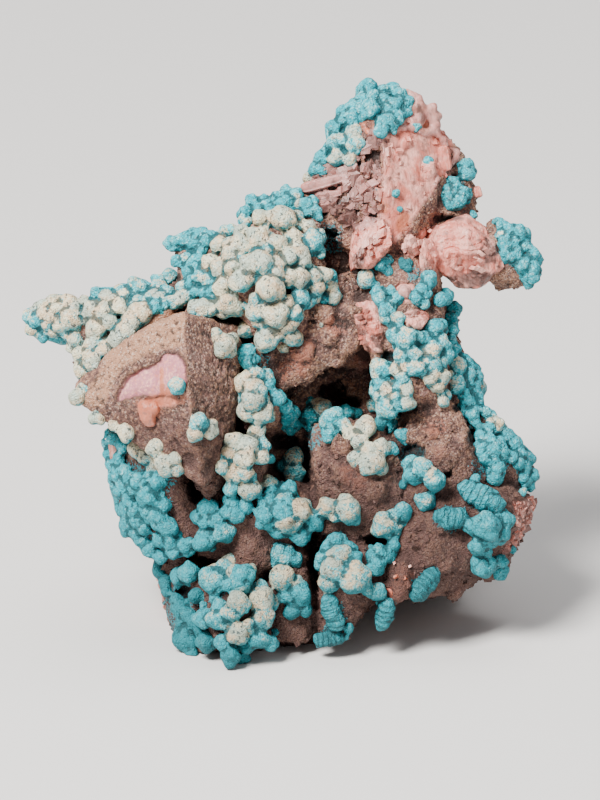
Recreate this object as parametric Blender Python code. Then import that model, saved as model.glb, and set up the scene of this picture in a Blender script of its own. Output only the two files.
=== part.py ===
"""Veszelyite specimen: round turquoise and cream lumps on a brown, iron-stained calcite matrix
with pink crystals. It all grew together, so it is one solid.

Places are given in millimetres on the display face, which is the side seen when the specimen is
shown: u to the right, v up the face, and w away from the viewer. The face leans back by LEAN, and
the specimen stands on its trimmed base.
"""

import math

import bmesh
import bpy
import numpy as np
from mathutils import Euler, Matrix, Vector

MM = 0.001
LEAN = math.radians(20)

# The display point that stands over the row's origin, and how far the base is trimmed.
CENTRE_U = -1.7
CENTRE_DEPTH = 13.86
BASE_CUT = 1.3

WIDTH, HEIGHT, DEPTH = 56.0, 64.0, 37.0

BROWN = (0.235, 0.13, 0.105)
CRUST_ROUGHNESS = 0.7

# Crystals and blocks of the matrix, each the convex hull of its corners (u, v, w).
BLOCKS = {
    "left crystal": (
        (-12.5, 38.3, -8.5), (-12.1, 31.0, -11.5), (-10.4, 19.4, -8.0), (-24.5, 28.9, -3.0),
        (-24.2, 30.5, -2.0), (-20.4, 34.3, -4.0), (-16.2, 36.9, -6.0), (-6.8, 36.8, -4.0),
        (-6.2, 30.0, -4.5), (-7.4, 23.0, -4.5), (-20.3, 27.0, -3.5), (-17.6, 25.0, -6.0),
        (-13.5, 22.0, -7.5), (-23.0, 31.5, 5.0), (-13.0, 38.5, 6.0), (-7.0, 36.0, 7.0),
        (-8.0, 22.0, 7.0), (-19.0, 26.5, 5.0),
    ),
    "left arm tip": (
        (-29.2, 37.4, 0.0), (-28.3, 36.2, 0.5), (-25.2, 35.8, 0.0), (-23.0, 36.2, -1.5),
        (-28.0, 38.9, 0.5), (-23.6, 38.9, -1.5), (-28.3, 37.4, 4.0), (-24.0, 36.0, 6.0),
        (-24.0, 38.6, 6.5), (-20.0, 38.0, 7.0),
    ),
    "left arm": (
        (-24.6, 35.2, -0.5), (-22.0, 34.0, -2.0), (-24.0, 31.0, -1.0), (-23.6, 38.9, -1.5),
        (-18.0, 40.6, -1.0), (-13.8, 41.6, -0.5), (-12.8, 40.8, 0.5), (-14.0, 38.3, -4.0),
        (-18.2, 36.0, -4.0), (-23.6, 32.0, 6.0), (-23.6, 38.6, 6.5), (-13.0, 41.0, 8.0),
        (-14.0, 34.0, 8.0),
    ),
    "crest": (
        (-14.0, 46.0, -0.5), (-13.6, 43.6, -1.5), (-12.6, 41.0, -3.0), (-9.6, 40.2, -5.0),
        (-6.2, 40.6, -5.5), (-6.6, 46.7, -3.5), (-10.4, 46.7, -1.0), (-12.6, 46.6, 0.0),
        (-13.4, 45.8, 6.0), (-12.4, 41.0, 8.0), (-6.6, 46.6, 8.5), (-6.0, 40.0, 9.0),
        (-13.2, 40.0, 2.0),
    ),
    "dome": (
        (-7.8, 46.2, -4.0), (-4.5, 48.2, -4.0), (-0.6, 48.0, -4.0), (1.7, 46.0, -4.0),
        (2.8, 42.4, -4.0), (1.9, 39.6, -4.0), (-0.5, 35.5, -4.6), (-3.5, 34.9, -5.0),
        (-6.0, 37.2, -4.6), (-8.8, 40.4, -4.0), (-9.2, 43.4, -3.8), (-5.4, 44.8, -7.0),
        (-3.4, 41.4, -8.0), (-6.9, 41.2, -7.0), (-1.0, 41.2, -7.0), (-2.5, 37.6, -7.0),
        (-6.0, 47.0, 6.0), (2.0, 47.0, 6.0), (3.0, 38.0, 6.0), (-6.0, 36.0, 6.0),
    ),
    "upper ridge": (
        (-6.0, 49.0, -1.0), (-5.3, 50.4, 0.0), (-3.6, 50.3, 0.0), (-1.5, 51.3, 0.0),
        (0.6, 51.6, 0.0), (2.0, 50.3, -1.0), (2.2, 47.5, -2.0), (-6.0, 47.0, -2.5),
        (-5.3, 50.0, 7.0), (0.6, 51.4, 7.0), (3.0, 47.0, 8.0), (-6.0, 46.0, 8.0),
    ),
    "peak crystal": (
        (5.6, 44.5, -0.5), (10.0, 44.5, -1.5), (13.4, 46.6, 0.0), (14.4, 50.6, 1.0),
        (15.0, 53.0, 2.0), (16.0, 53.5, 3.0), (15.9, 57.0, 3.0), (14.8, 59.2, 3.0),
        (13.4, 60.8, 2.2), (11.8, 62.2, 2.0), (8.0, 63.0, 2.0), (6.8, 62.3, 2.0),
        (6.3, 60.8, 1.0), (4.4, 59.9, 1.0), (3.7, 58.0, 1.0), (3.0, 56.0, 1.0),
        (1.8, 54.0, 1.0), (1.0, 52.2, 1.0), (2.4, 48.0, -1.0), (9.5, 52.0, -2.2),
        (8.5, 57.5, -1.4), (7.2, 62.2, 6.5), (13.0, 60.8, 7.5), (16.3, 55.5, 8.0),
        (14.5, 47.0, 9.0), (3.4, 54.0, 8.0), (1.8, 48.0, 9.0),
    ),
    "peak shoulder": (
        (15.3, 58.4, 5.0), (16.3, 56.9, 5.0), (17.9, 55.3, 5.0), (18.6, 53.5, 4.5),
        (19.0, 51.0, 4.5), (19.4, 48.9, 4.5), (19.0, 47.4, 3.5), (13.0, 47.0, 3.0),
        (12.8, 50.5, 1.5), (14.0, 56.0, 3.5), (15.0, 57.5, 10.0), (18.0, 54.0, 10.0),
        (18.8, 48.0, 10.0), (12.0, 46.0, 10.0),
    ),
    "arm crystal": (
        (15.3, 46.8, -1.0), (18.1, 48.7, 0.0), (19.4, 47.8, 0.0), (20.7, 46.2, -0.5),
        (21.7, 45.0, -0.5), (21.6, 43.2, -0.5), (19.9, 41.2, -0.5), (17.5, 41.1, -0.5),
        (15.2, 43.1, -1.0), (14.8, 44.8, -1.5), (18.2, 44.7, -3.2), (15.5, 47.0, 5.0),
        (18.5, 48.4, 5.0), (21.5, 45.5, 5.0), (20.0, 41.4, 5.0), (15.5, 42.5, 5.0),
        (12.4, 45.4, 4.0), (12.8, 47.4, 4.0),
    ),
    "arm end": (
        (20.2, 48.3, 1.5), (21.2, 48.7, 2.0), (22.7, 47.8, 1.0), (23.9, 47.0, 1.0),
        (25.2, 44.9, 1.0), (25.2, 42.9, 1.0), (24.6, 41.5, 1.5), (23.0, 41.3, 2.0),
        (21.0, 40.8, 2.5), (20.2, 42.2, 0.0), (20.4, 46.2, 0.0), (21.0, 48.0, 6.0),
        (24.0, 46.5, 6.0), (25.0, 43.0, 6.0), (22.0, 41.2, 7.0),
    ),
    "pink crystal A": (
        (5.9, 47.5, -3.0), (7.1, 48.6, -2.0), (9.2, 48.6, -2.0), (9.9, 47.6, -3.0),
        (9.9, 45.7, -4.2), (8.3, 44.2, -4.6), (7.1, 43.2, -4.4), (5.6, 42.8, -3.4),
        (5.4, 44.8, -4.0), (6.0, 48.0, 4.0), (9.8, 48.0, 4.0), (9.5, 44.0, 4.0),
        (5.5, 43.0, 4.0),
    ),
    "crest foot": (
        (-12.4, 39.6, -3.4), (-9.2, 39.6, -4.6), (-8.8, 37.9, -5.2), (-12.2, 38.1, -4.6),
        (-10.6, 38.6, -5.4), (-12.4, 39.8, 5.0), (-9.0, 39.8, 5.0), (-9.0, 37.4, 5.0),
        (-12.2, 37.6, 5.0),
    ),
    "inner step": (
        (-6.8, 34.8, -3.4), (-4.4, 34.6, -3.6), (-3.6, 32.4, -3.4), (-4.8, 31.4, -3.4),
        (-6.6, 32.4, -3.2), (-5.4, 33.4, -4.2), (-7.0, 35.0, 5.0), (-3.6, 34.0, 5.0),
        (-4.4, 31.4, 5.0), (-6.8, 32.0, 5.0),
    ),
    "pink crystal D": (
        (11.2, 46.4, -2.6), (12.2, 47.0, -2.2), (13.1, 46.3, -2.6), (13.0, 45.0, -3.0),
        (12.2, 44.5, -2.8), (11.4, 45.1, -3.0), (12.2, 45.8, -3.6), (11.4, 46.6, 2.0),
        (13.0, 46.4, 2.0), (12.8, 44.6, 2.0), (11.4, 45.0, 2.0),
    ),
    "pink crystal E": (
        (13.3, 46.3, -2.2), (14.2, 46.2, -2.0), (14.9, 44.6, -2.2), (14.6, 42.8, -2.4),
        (13.6, 42.5, -2.4), (13.1, 43.6, -2.8), (13.0, 45.2, -2.8), (13.9, 44.4, -3.4),
        (13.3, 46.2, 2.0), (14.6, 45.6, 2.0), (14.6, 42.8, 2.0), (13.2, 43.0, 2.0),
    ),
    "right column": (
        (6.6, 42.3, -2.0), (9.0, 43.8, -2.0), (12.5, 44.9, -1.5), (14.8, 43.4, -1.0),
        (15.2, 40.0, -0.5), (15.2, 37.5, -2.0), (15.6, 34.5, -3.0), (15.8, 31.0, -3.0),
        (15.3, 28.7, -3.0), (9.2, 28.0, -3.0), (8.2, 30.0, -3.0), (8.8, 34.0, -3.0),
        (7.4, 39.0, -2.0), (12.0, 35.0, -5.0), (12.6, 31.5, -5.0), (12.0, 29.2, -5.0),
        (12.0, 40.0, -3.6), (7.0, 43.0, 6.0), (14.5, 43.5, 6.0), (16.6, 36.0, 8.0),
        (16.6, 29.0, 8.0), (8.5, 29.0, 8.0),
    ),
    "pink crystal B": (
        (10.9, 38.0, -4.4), (12.0, 38.9, -3.6), (14.1, 38.1, -3.8), (12.9, 36.4, -5.4),
        (11.0, 36.7, -5.2), (12.1, 37.6, -5.9), (11.0, 38.0, 2.0), (14.0, 38.0, 2.0),
        (13.0, 36.5, 2.0), (11.0, 36.8, 2.0),
    ),
    "pink crystal C": (
        (5.8, 38.9, -3.4), (7.9, 39.5, -2.8), (8.9, 37.2, -3.6), (9.0, 35.8, -3.8),
        (8.8, 34.2, -3.4), (7.2, 34.0, -3.0), (6.6, 35.5, -3.6), (6.1, 37.8, -4.2),
        (7.9, 37.0, -5.0), (6.0, 39.0, 2.0), (8.0, 39.0, 2.0), (8.8, 34.2, 2.0),
        (7.2, 34.0, 2.0),
    ),
    "centre rock": (
        (-2.6, 36.0, -2.0), (0.0, 39.0, -2.0), (3.5, 42.0, -2.0), (5.5, 42.8, -1.4),
        (7.2, 40.0, -2.0), (6.8, 36.5, -3.0), (6.0, 34.2, -3.4), (2.4, 33.2, -3.8),
        (-1.2, 31.2, -3.4), (-3.0, 29.0, -2.4), (-3.2, 33.0, -2.6), (2.0, 37.0, -4.2),
        (0.0, 32.6, 0.0), (-2.6, 30.0, 4.0), (-2.6, 37.0, 5.0), (4.0, 42.0, 6.0),
        (8.0, 41.0, 6.0), (7.0, 34.5, 4.0),
    ),
    "pillar": (
        (-6.4, 31.4, -4.0), (-5.0, 32.5, -3.6), (-3.2, 31.2, -3.6), (-2.2, 28.4, -3.4),
        (-2.8, 26.2, -3.6), (-4.6, 24.9, -4.0), (-6.3, 27.0, -4.2), (-4.8, 29.0, -6.0),
        (-6.5, 31.0, 5.0), (-2.0, 31.0, 5.0), (-1.4, 26.0, 5.0), (-6.3, 25.0, 5.0),
    ),
    "cluster mound": (
        (-8.3, 22.4, -4.6), (-7.2, 24.0, -4.8), (-4.2, 24.2, -4.6), (-3.5, 22.4, -4.4),
        (-4.7, 19.2, -4.6), (-7.5, 19.0, -4.6), (-6.0, 22.0, -6.6), (-8.0, 24.0, 4.0),
        (-3.4, 24.0, 4.0), (-3.6, 19.0, 4.0), (-8.4, 19.0, 4.0),
    ),
    "middle left": (
        (-11.6, 17.0, -2.0), (-9.8, 18.4, -2.6), (-7.0, 18.6, -3.4), (-3.0, 20.0, -2.0),
        (0.8, 18.4, -2.4), (1.8, 15.4, -2.8), (0.4, 13.2, -2.4), (-2.6, 13.4, -2.0),
        (-8.0, 13.6, -3.0), (-11.0, 13.2, -2.4), (-1.2, 16.4, -4.0), (-7.6, 16.4, -4.4),
        (-12.0, 18.0, 6.0), (1.5, 20.0, 6.0), (1.5, 12.5, 6.0), (-11.0, 12.5, 6.0),
    ),
    "left edge": (
        (-20.3, 25.2, 2.0), (-20.2, 22.0, 1.0), (-19.8, 20.0, 0.5), (-18.9, 17.5, 0.0),
        (-18.8, 15.0, 0.6), (-17.0, 12.6, 0.4), (-14.2, 11.4, -0.6), (-11.8, 12.2, -1.6),
        (-11.4, 16.0, -1.4), (-13.6, 20.6, -2.2), (-13.4, 22.4, -3.0), (-17.4, 23.6, -1.6),
        (-19.2, 24.6, 0.0), (-16.6, 17.6, -2.4), (-20.0, 25.0, 6.0), (-19.4, 19.0, 7.0),
        (-17.6, 13.0, 8.0), (-12.0, 12.0, 9.0), (-12.0, 24.0, 9.0),
    ),
    "crystal lobe": (
        (-11.6, 20.6, -5.4), (-11.2, 22.6, -6.6), (-10.2, 18.1, -4.6), (-9.0, 18.9, -4.4),
        (-7.6, 21.5, -4.0), (-7.9, 23.6, -4.4), (-10.0, 20.8, -6.4), (-11.4, 22.0, 3.0),
        (-10.4, 18.6, 3.0), (-8.2, 19.4, 3.0), (-8.0, 23.0, 3.0),
    ),
    "left saddle": (
        (-11.0, 12.1, -1.4), (-8.2, 11.4, -1.6), (-7.4, 13.9, -2.2), (-10.8, 13.9, -1.6),
        (-9.4, 12.8, -2.6), (-11.2, 12.0, 4.0), (-7.6, 11.4, 4.0), (-7.4, 14.0, 4.0),
        (-11.0, 14.0, 4.0),
    ),
    "right saddle": (
        (16.0, 20.6, -3.2), (16.7, 19.4, -2.8), (18.0, 18.4, -2.8), (19.4, 19.0, -2.4),
        (20.2, 20.4, -1.6), (19.8, 22.2, -1.6), (18.4, 22.8, -2.8), (17.2, 21.8, -3.6),
        (18.2, 20.6, -4.0), (14.3, 18.2, -2.6), (14.6, 19.8, -3.0), (14.4, 18.0, 5.0),
        (19.8, 19.2, 5.0), (19.8, 22.4, 5.0), (16.6, 22.4, 5.0),
    ),
    "left foot": (
        (-15.6, 11.0, 4.0), (-14.6, 7.8, 4.0), (-13.6, 4.6, 2.4), (-13.0, 2.0, 1.2),
        (-11.6, 0.6, 0.0), (-10.0, 1.4, -1.6), (-10.4, 7.0, -2.2), (-11.6, 11.0, -1.2),
        (-14.0, 12.0, 1.0), (-16.4, 12.6, 9.0), (-15.4, 7.5, 12.0), (-12.0, 3.0, 8.0),
        (-10.0, 12.0, 9.0),
    ),
    "front foot": (
        (-10.6, 9.4, -3.4), (-8.2, 10.8, -3.8), (-5.4, 10.4, -3.8), (-3.6, 8.2, -3.4),
        (-3.2, 5.2, -3.4), (-3.4, 2.8, -3.6), (-5.2, 1.9, -4.0), (-7.4, 1.2, -4.4),
        (-9.2, 2.6, -3.8), (-10.4, 5.2, -3.6), (-6.4, 5.8, -6.4), (-7.4, 8.6, -5.6),
        (-10.0, 9.0, 6.0), (-3.0, 9.0, 6.0), (-3.0, 2.2, 2.2), (-9.6, 1.6, 1.0),
    ),
    "brown step": (
        (-7.2, 15.6, -2.6), (-3.4, 15.8, -2.2), (-3.0, 10.4, -2.4), (-6.8, 9.8, -3.0),
        (-5.2, 12.8, -4.0), (-7.4, 15.0, 5.0), (-2.6, 15.0, 5.0), (-2.6, 9.6, 5.0),
        (-7.4, 9.6, 5.0),
    ),
    "bottom middle": (
        (-3.2, 12.4, -1.6), (0.4, 12.6, -1.4), (1.0, 8.2, -2.4), (1.6, 5.4, -2.0),
        (0.4, 2.6, -1.6), (-2.6, 2.4, -2.0), (-3.2, 7.0, -2.0), (-1.4, 9.0, -3.4),
        (-3.2, 12.4, 6.0), (1.6, 12.4, 6.0), (2.4, 3.0, 4.0), (-3.0, 3.0, 4.0),
    ),
    "right mound": (
        (2.3, 11.2, -3.8), (3.8, 13.4, -3.0), (5.8, 12.6, -3.4), (8.4, 13.0, -2.8),
        (10.0, 12.6, -2.4), (9.4, 10.0, -2.6), (8.0, 7.8, -3.6), (5.6, 8.2, -4.8),
        (3.2, 6.6, -3.8), (5.5, 4.2, -2.4), (4.6, 2.4, -1.8), (2.0, 2.3, -2.0),
        (2.8, 8.8, -4.0), (4.4, 10.6, -5.6),
        (3.0, 13.0, 5.0), (10.0, 13.0, 5.0), (9.0, 7.6, 8.0), (3.6, 4.6, 5.0),
    ),
    "low face": (
        (1.4, 26.0, -1.6), (1.2, 22.4, -2.2), (2.0, 18.4, -3.0), (2.4, 14.2, -2.8),
        (6.0, 13.6, -3.2), (10.8, 15.0, -3.0), (11.4, 19.0, -2.8), (10.4, 23.4, -2.8),
        (8.6, 26.2, -3.0), (4.6, 26.6, -2.4), (6.4, 20.0, -4.8), (7.8, 23.4, -4.6),
        (1.4, 26.0, 5.0), (9.6, 26.4, 5.0), (11.6, 15.0, 5.0), (2.2, 14.0, 5.0),
    ),
    "right face": (
        (12.0, 27.2, -2.6), (14.4, 28.4, -2.8), (16.6, 28.7, -1.8), (17.1, 27.0, -2.2),
        (18.4, 25.6, -2.2), (18.6, 23.6, -3.0), (18.9, 21.6, -3.0), (13.4, 18.6, -4.2),
        (11.2, 17.6, -3.0), (10.4, 23.6, -2.4), (12.0, 24.4, -3.4), (15.2, 23.4, -5.2),
        (11.0, 27.6, 6.0), (16.8, 28.6, 6.0), (19.0, 22.0, 7.0), (11.0, 17.0, 6.0),
    ),
    "low right": (
        (9.7, 7.4, -2.4), (12.8, 7.0, -2.6), (15.8, 8.7, -1.6), (19.0, 8.5, 0.2),
        (19.4, 12.0, -2.6), (19.2, 18.4, -3.2), (11.0, 18.0, -3.0), (9.6, 12.4, -2.8),
        (14.6, 13.8, -4.6), (12.0, 17.0, -3.4), (9.6, 8.0, 13.0), (18.0, 8.8, 17.0),
        (19.6, 14.0, 13.0), (10.0, 18.0, 11.0),
    ),
    "edge crystal": (
        (9.4, 11.2, -3.2), (11.2, 11.6, -4.4), (12.4, 10.4, -3.6), (12.3, 7.6, -3.2),
        (10.6, 6.9, -4.0), (9.3, 8.6, -3.4), (11.0, 9.2, -5.0), (9.6, 11.0, 1.0),
        (12.2, 11.0, 1.0), (12.0, 7.2, 1.0), (9.8, 7.6, 1.0),
    ),
    "hanging lobe": (
        (8.8, 6.9, -3.0), (10.4, 7.6, -3.4), (9.8, 8.6, -2.0), (8.7, 4.9, -2.6),
        (9.6, 4.9, -2.4), (9.0, 7.2, -0.6), (10.2, 7.4, -0.8), (9.3, 5.2, -1.0),
    ),
    "right bulge": (
        (18.0, 18.4, -3.2), (21.2, 18.4, -3.4), (23.4, 17.6, -1.6), (20.6, 19.5, -2.0),
        (22.5, 19.5, -1.4), (25.4, 18.2, 1.6),
        (25.7, 17.4, 2.4), (25.2, 16.0, 2.0), (24.4, 14.4, 1.4), (22.8, 12.0, 0.6),
        (22.6, 10.2, 1.0), (21.0, 9.2, 0.4), (19.0, 9.6, -1.0), (18.4, 13.0, -3.6),
        (20.4, 15.0, -5.4), (22.4, 15.0, -3.8), (24.8, 17.0, 8.0), (22.0, 10.4, 10.0),
        (18.0, 9.6, 12.0), (18.6, 18.0, 9.0),
    ),
    "edge band upper": (
        (16.3, 36.4, 1.0), (16.8, 34.0, 0.6), (17.4, 32.6, 0.4), (19.2, 31.2, 1.6),
        (19.4, 28.5, 1.8), (18.4, 26.6, 1.0), (16.8, 26.6, 0.0), (16.0, 29.6, -0.6),
        (15.6, 33.4, -0.6), (15.6, 36.0, 0.0), (16.4, 36.2, 8.0), (18.8, 30.6, 9.0),
        (18.4, 26.0, 10.0), (14.0, 30.0, 10.0),
    ),
    "edge band lower": (
        (18.4, 28.0, 0.6), (20.8, 26.8, 1.6), (22.2, 25.2, 1.8), (23.7, 23.4, 2.0),
        (24.7, 21.6, 2.4), (25.4, 20.6, 2.6), (25.3, 19.2, 2.6), (23.2, 18.8, 0.6),
        (21.0, 20.0, -1.2), (19.4, 22.4, -1.6), (19.4, 24.8, -0.8), (22.0, 22.0, -1.2),
        (19.0, 27.4, 9.0), (23.4, 22.6, 9.0), (24.8, 19.4, 8.0), (19.0, 19.0, 10.0),
    ),
    "back column": (
        (15.0, 40.6, 5.0), (16.4, 40.0, 5.0), (17.0, 38.0, 5.0), (16.8, 35.6, 5.0),
        (14.5, 35.5, 4.0), (14.2, 40.4, 4.0), (15.0, 40.4, 10.0), (16.8, 37.0, 11.0),
        (14.0, 34.0, 12.0),
    ),
    "upper core": (
        (-15.0, 38.0, 2.0), (-14.6, 40.6, 2.0), (-12.6, 44.0, 2.0), (-5.0, 47.0, 2.0), (2.0, 49.0, 2.0),
        (8.0, 50.0, 3.0), (13.0, 48.0, 4.0), (15.4, 42.0, 4.0), (15.4, 36.0, 4.0),
        (-10.0, 33.0, 2.0), (15.0, 32.0, 5.0), (-10.0, 36.0, 12.0), (-9.0, 43.0, 10.0),
        (-2.0, 46.0, 11.0), (6.0, 48.0, 11.0), (12.0, 46.0, 12.0), (14.5, 38.0, 13.0),
        (12.0, 32.0, 14.0), (-8.0, 32.0, 14.0),
    ),
    "lower core": (
        (-17.6, 27.0, 4.0), (-16.6, 20.0, 4.0), (-14.0, 13.0, 3.0), (-8.0, 12.0, 2.0),
        (2.0, 10.0, 2.0), (10.0, 10.0, 2.0), (18.0, 12.0, 4.0), (19.6, 18.0, 4.0),
        (17.0, 27.0, 4.0), (14.0, 31.0, 5.0), (-10.0, 34.0, 4.0), (-19.0, 30.0, 4.0),
        (-16.0, 27.0, 13.0), (-14.0, 18.0, 16.0), (-10.0, 11.0, 17.0), (0.0, 9.5, 18.0),
        (12.0, 10.5, 20.0), (18.0, 15.0, 17.0), (16.0, 25.0, 15.0), (12.0, 33.0, 13.0),
        (-8.0, 33.0, 13.0),
    ),
    "back hump": (
        (-11.0, 26.0, 12.0), (-12.0, 16.0, 15.0), (-9.0, 9.5, 20.0), (0.0, 9.0, 23.0),
        (11.0, 9.5, 24.0), (16.0, 14.0, 20.0), (14.0, 24.0, 16.0), (8.0, 32.0, 13.0),
        (-5.0, 33.0, 13.0), (-6.0, 20.0, 20.0), (4.0, 17.0, 23.5), (9.0, 22.0, 21.0),
    ),
    "base front": (
        (-12.6, 1.0, 1.6), (-7.0, 0.6, 0.6), (4.4, 1.4, 2.6), (5.8, 3.0, 10.0),
        (-15.0, 4.0, 12.0), (-14.4, 3.0, 7.4), (5.0, 3.0, 15.0), (-13.0, 3.0, 15.0),
        (-12.6, 14.0, 4.0), (4.0, 14.0, 4.0), (5.0, 14.0, 15.0), (-13.0, 14.0, 15.0),
    ),
    "base rear": (
        (-15.2, 4.0, 12.0), (5.8, 4.0, 12.2), (17.8, 6.6, 18.8), (19.0, 7.0, 21.6),
        (14.0, 7.0, 25.0), (-2.0, 7.0, 25.2), (-12.0, 6.0, 21.4), (-15.0, 13.0, 12.0),
        (18.0, 14.0, 16.0), (12.0, 14.0, 22.5), (-8.0, 14.0, 20.0), (5.0, 15.0, 13.0),
    ),
}

# Pits, cut into the matrix: the convex hulls of their corners (u, v, w).
PITS = {
    "centre hollow": (
        (2.0, 30.2, -9.0), (3.4, 31.0, -9.0), (5.3, 29.2, -9.0), (6.3, 28.0, -9.0),
        (4.4, 27.8, -9.0), (3.1, 28.6, -9.0), (2.2, 30.2, 9.0), (3.6, 30.8, 9.0),
        (5.9, 28.2, 9.0), (4.2, 28.0, 9.0),
    ),
    "upper hollow": (
        (1.6, 48.4, -9.0), (4.6, 48.6, -9.0), (4.8, 45.6, -9.0), (2.8, 45.2, -9.0),
        (2.6, 47.4, 3.0), (4.0, 46.6, 3.0),
    ),
    "lower slot": (
        (0.9, 14.6, -9.0), (1.9, 14.4, -9.0), (2.0, 8.6, -9.0), (1.1, 8.4, -9.0),
        (1.5, 12.0, 3.0),
    ),
}

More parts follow.
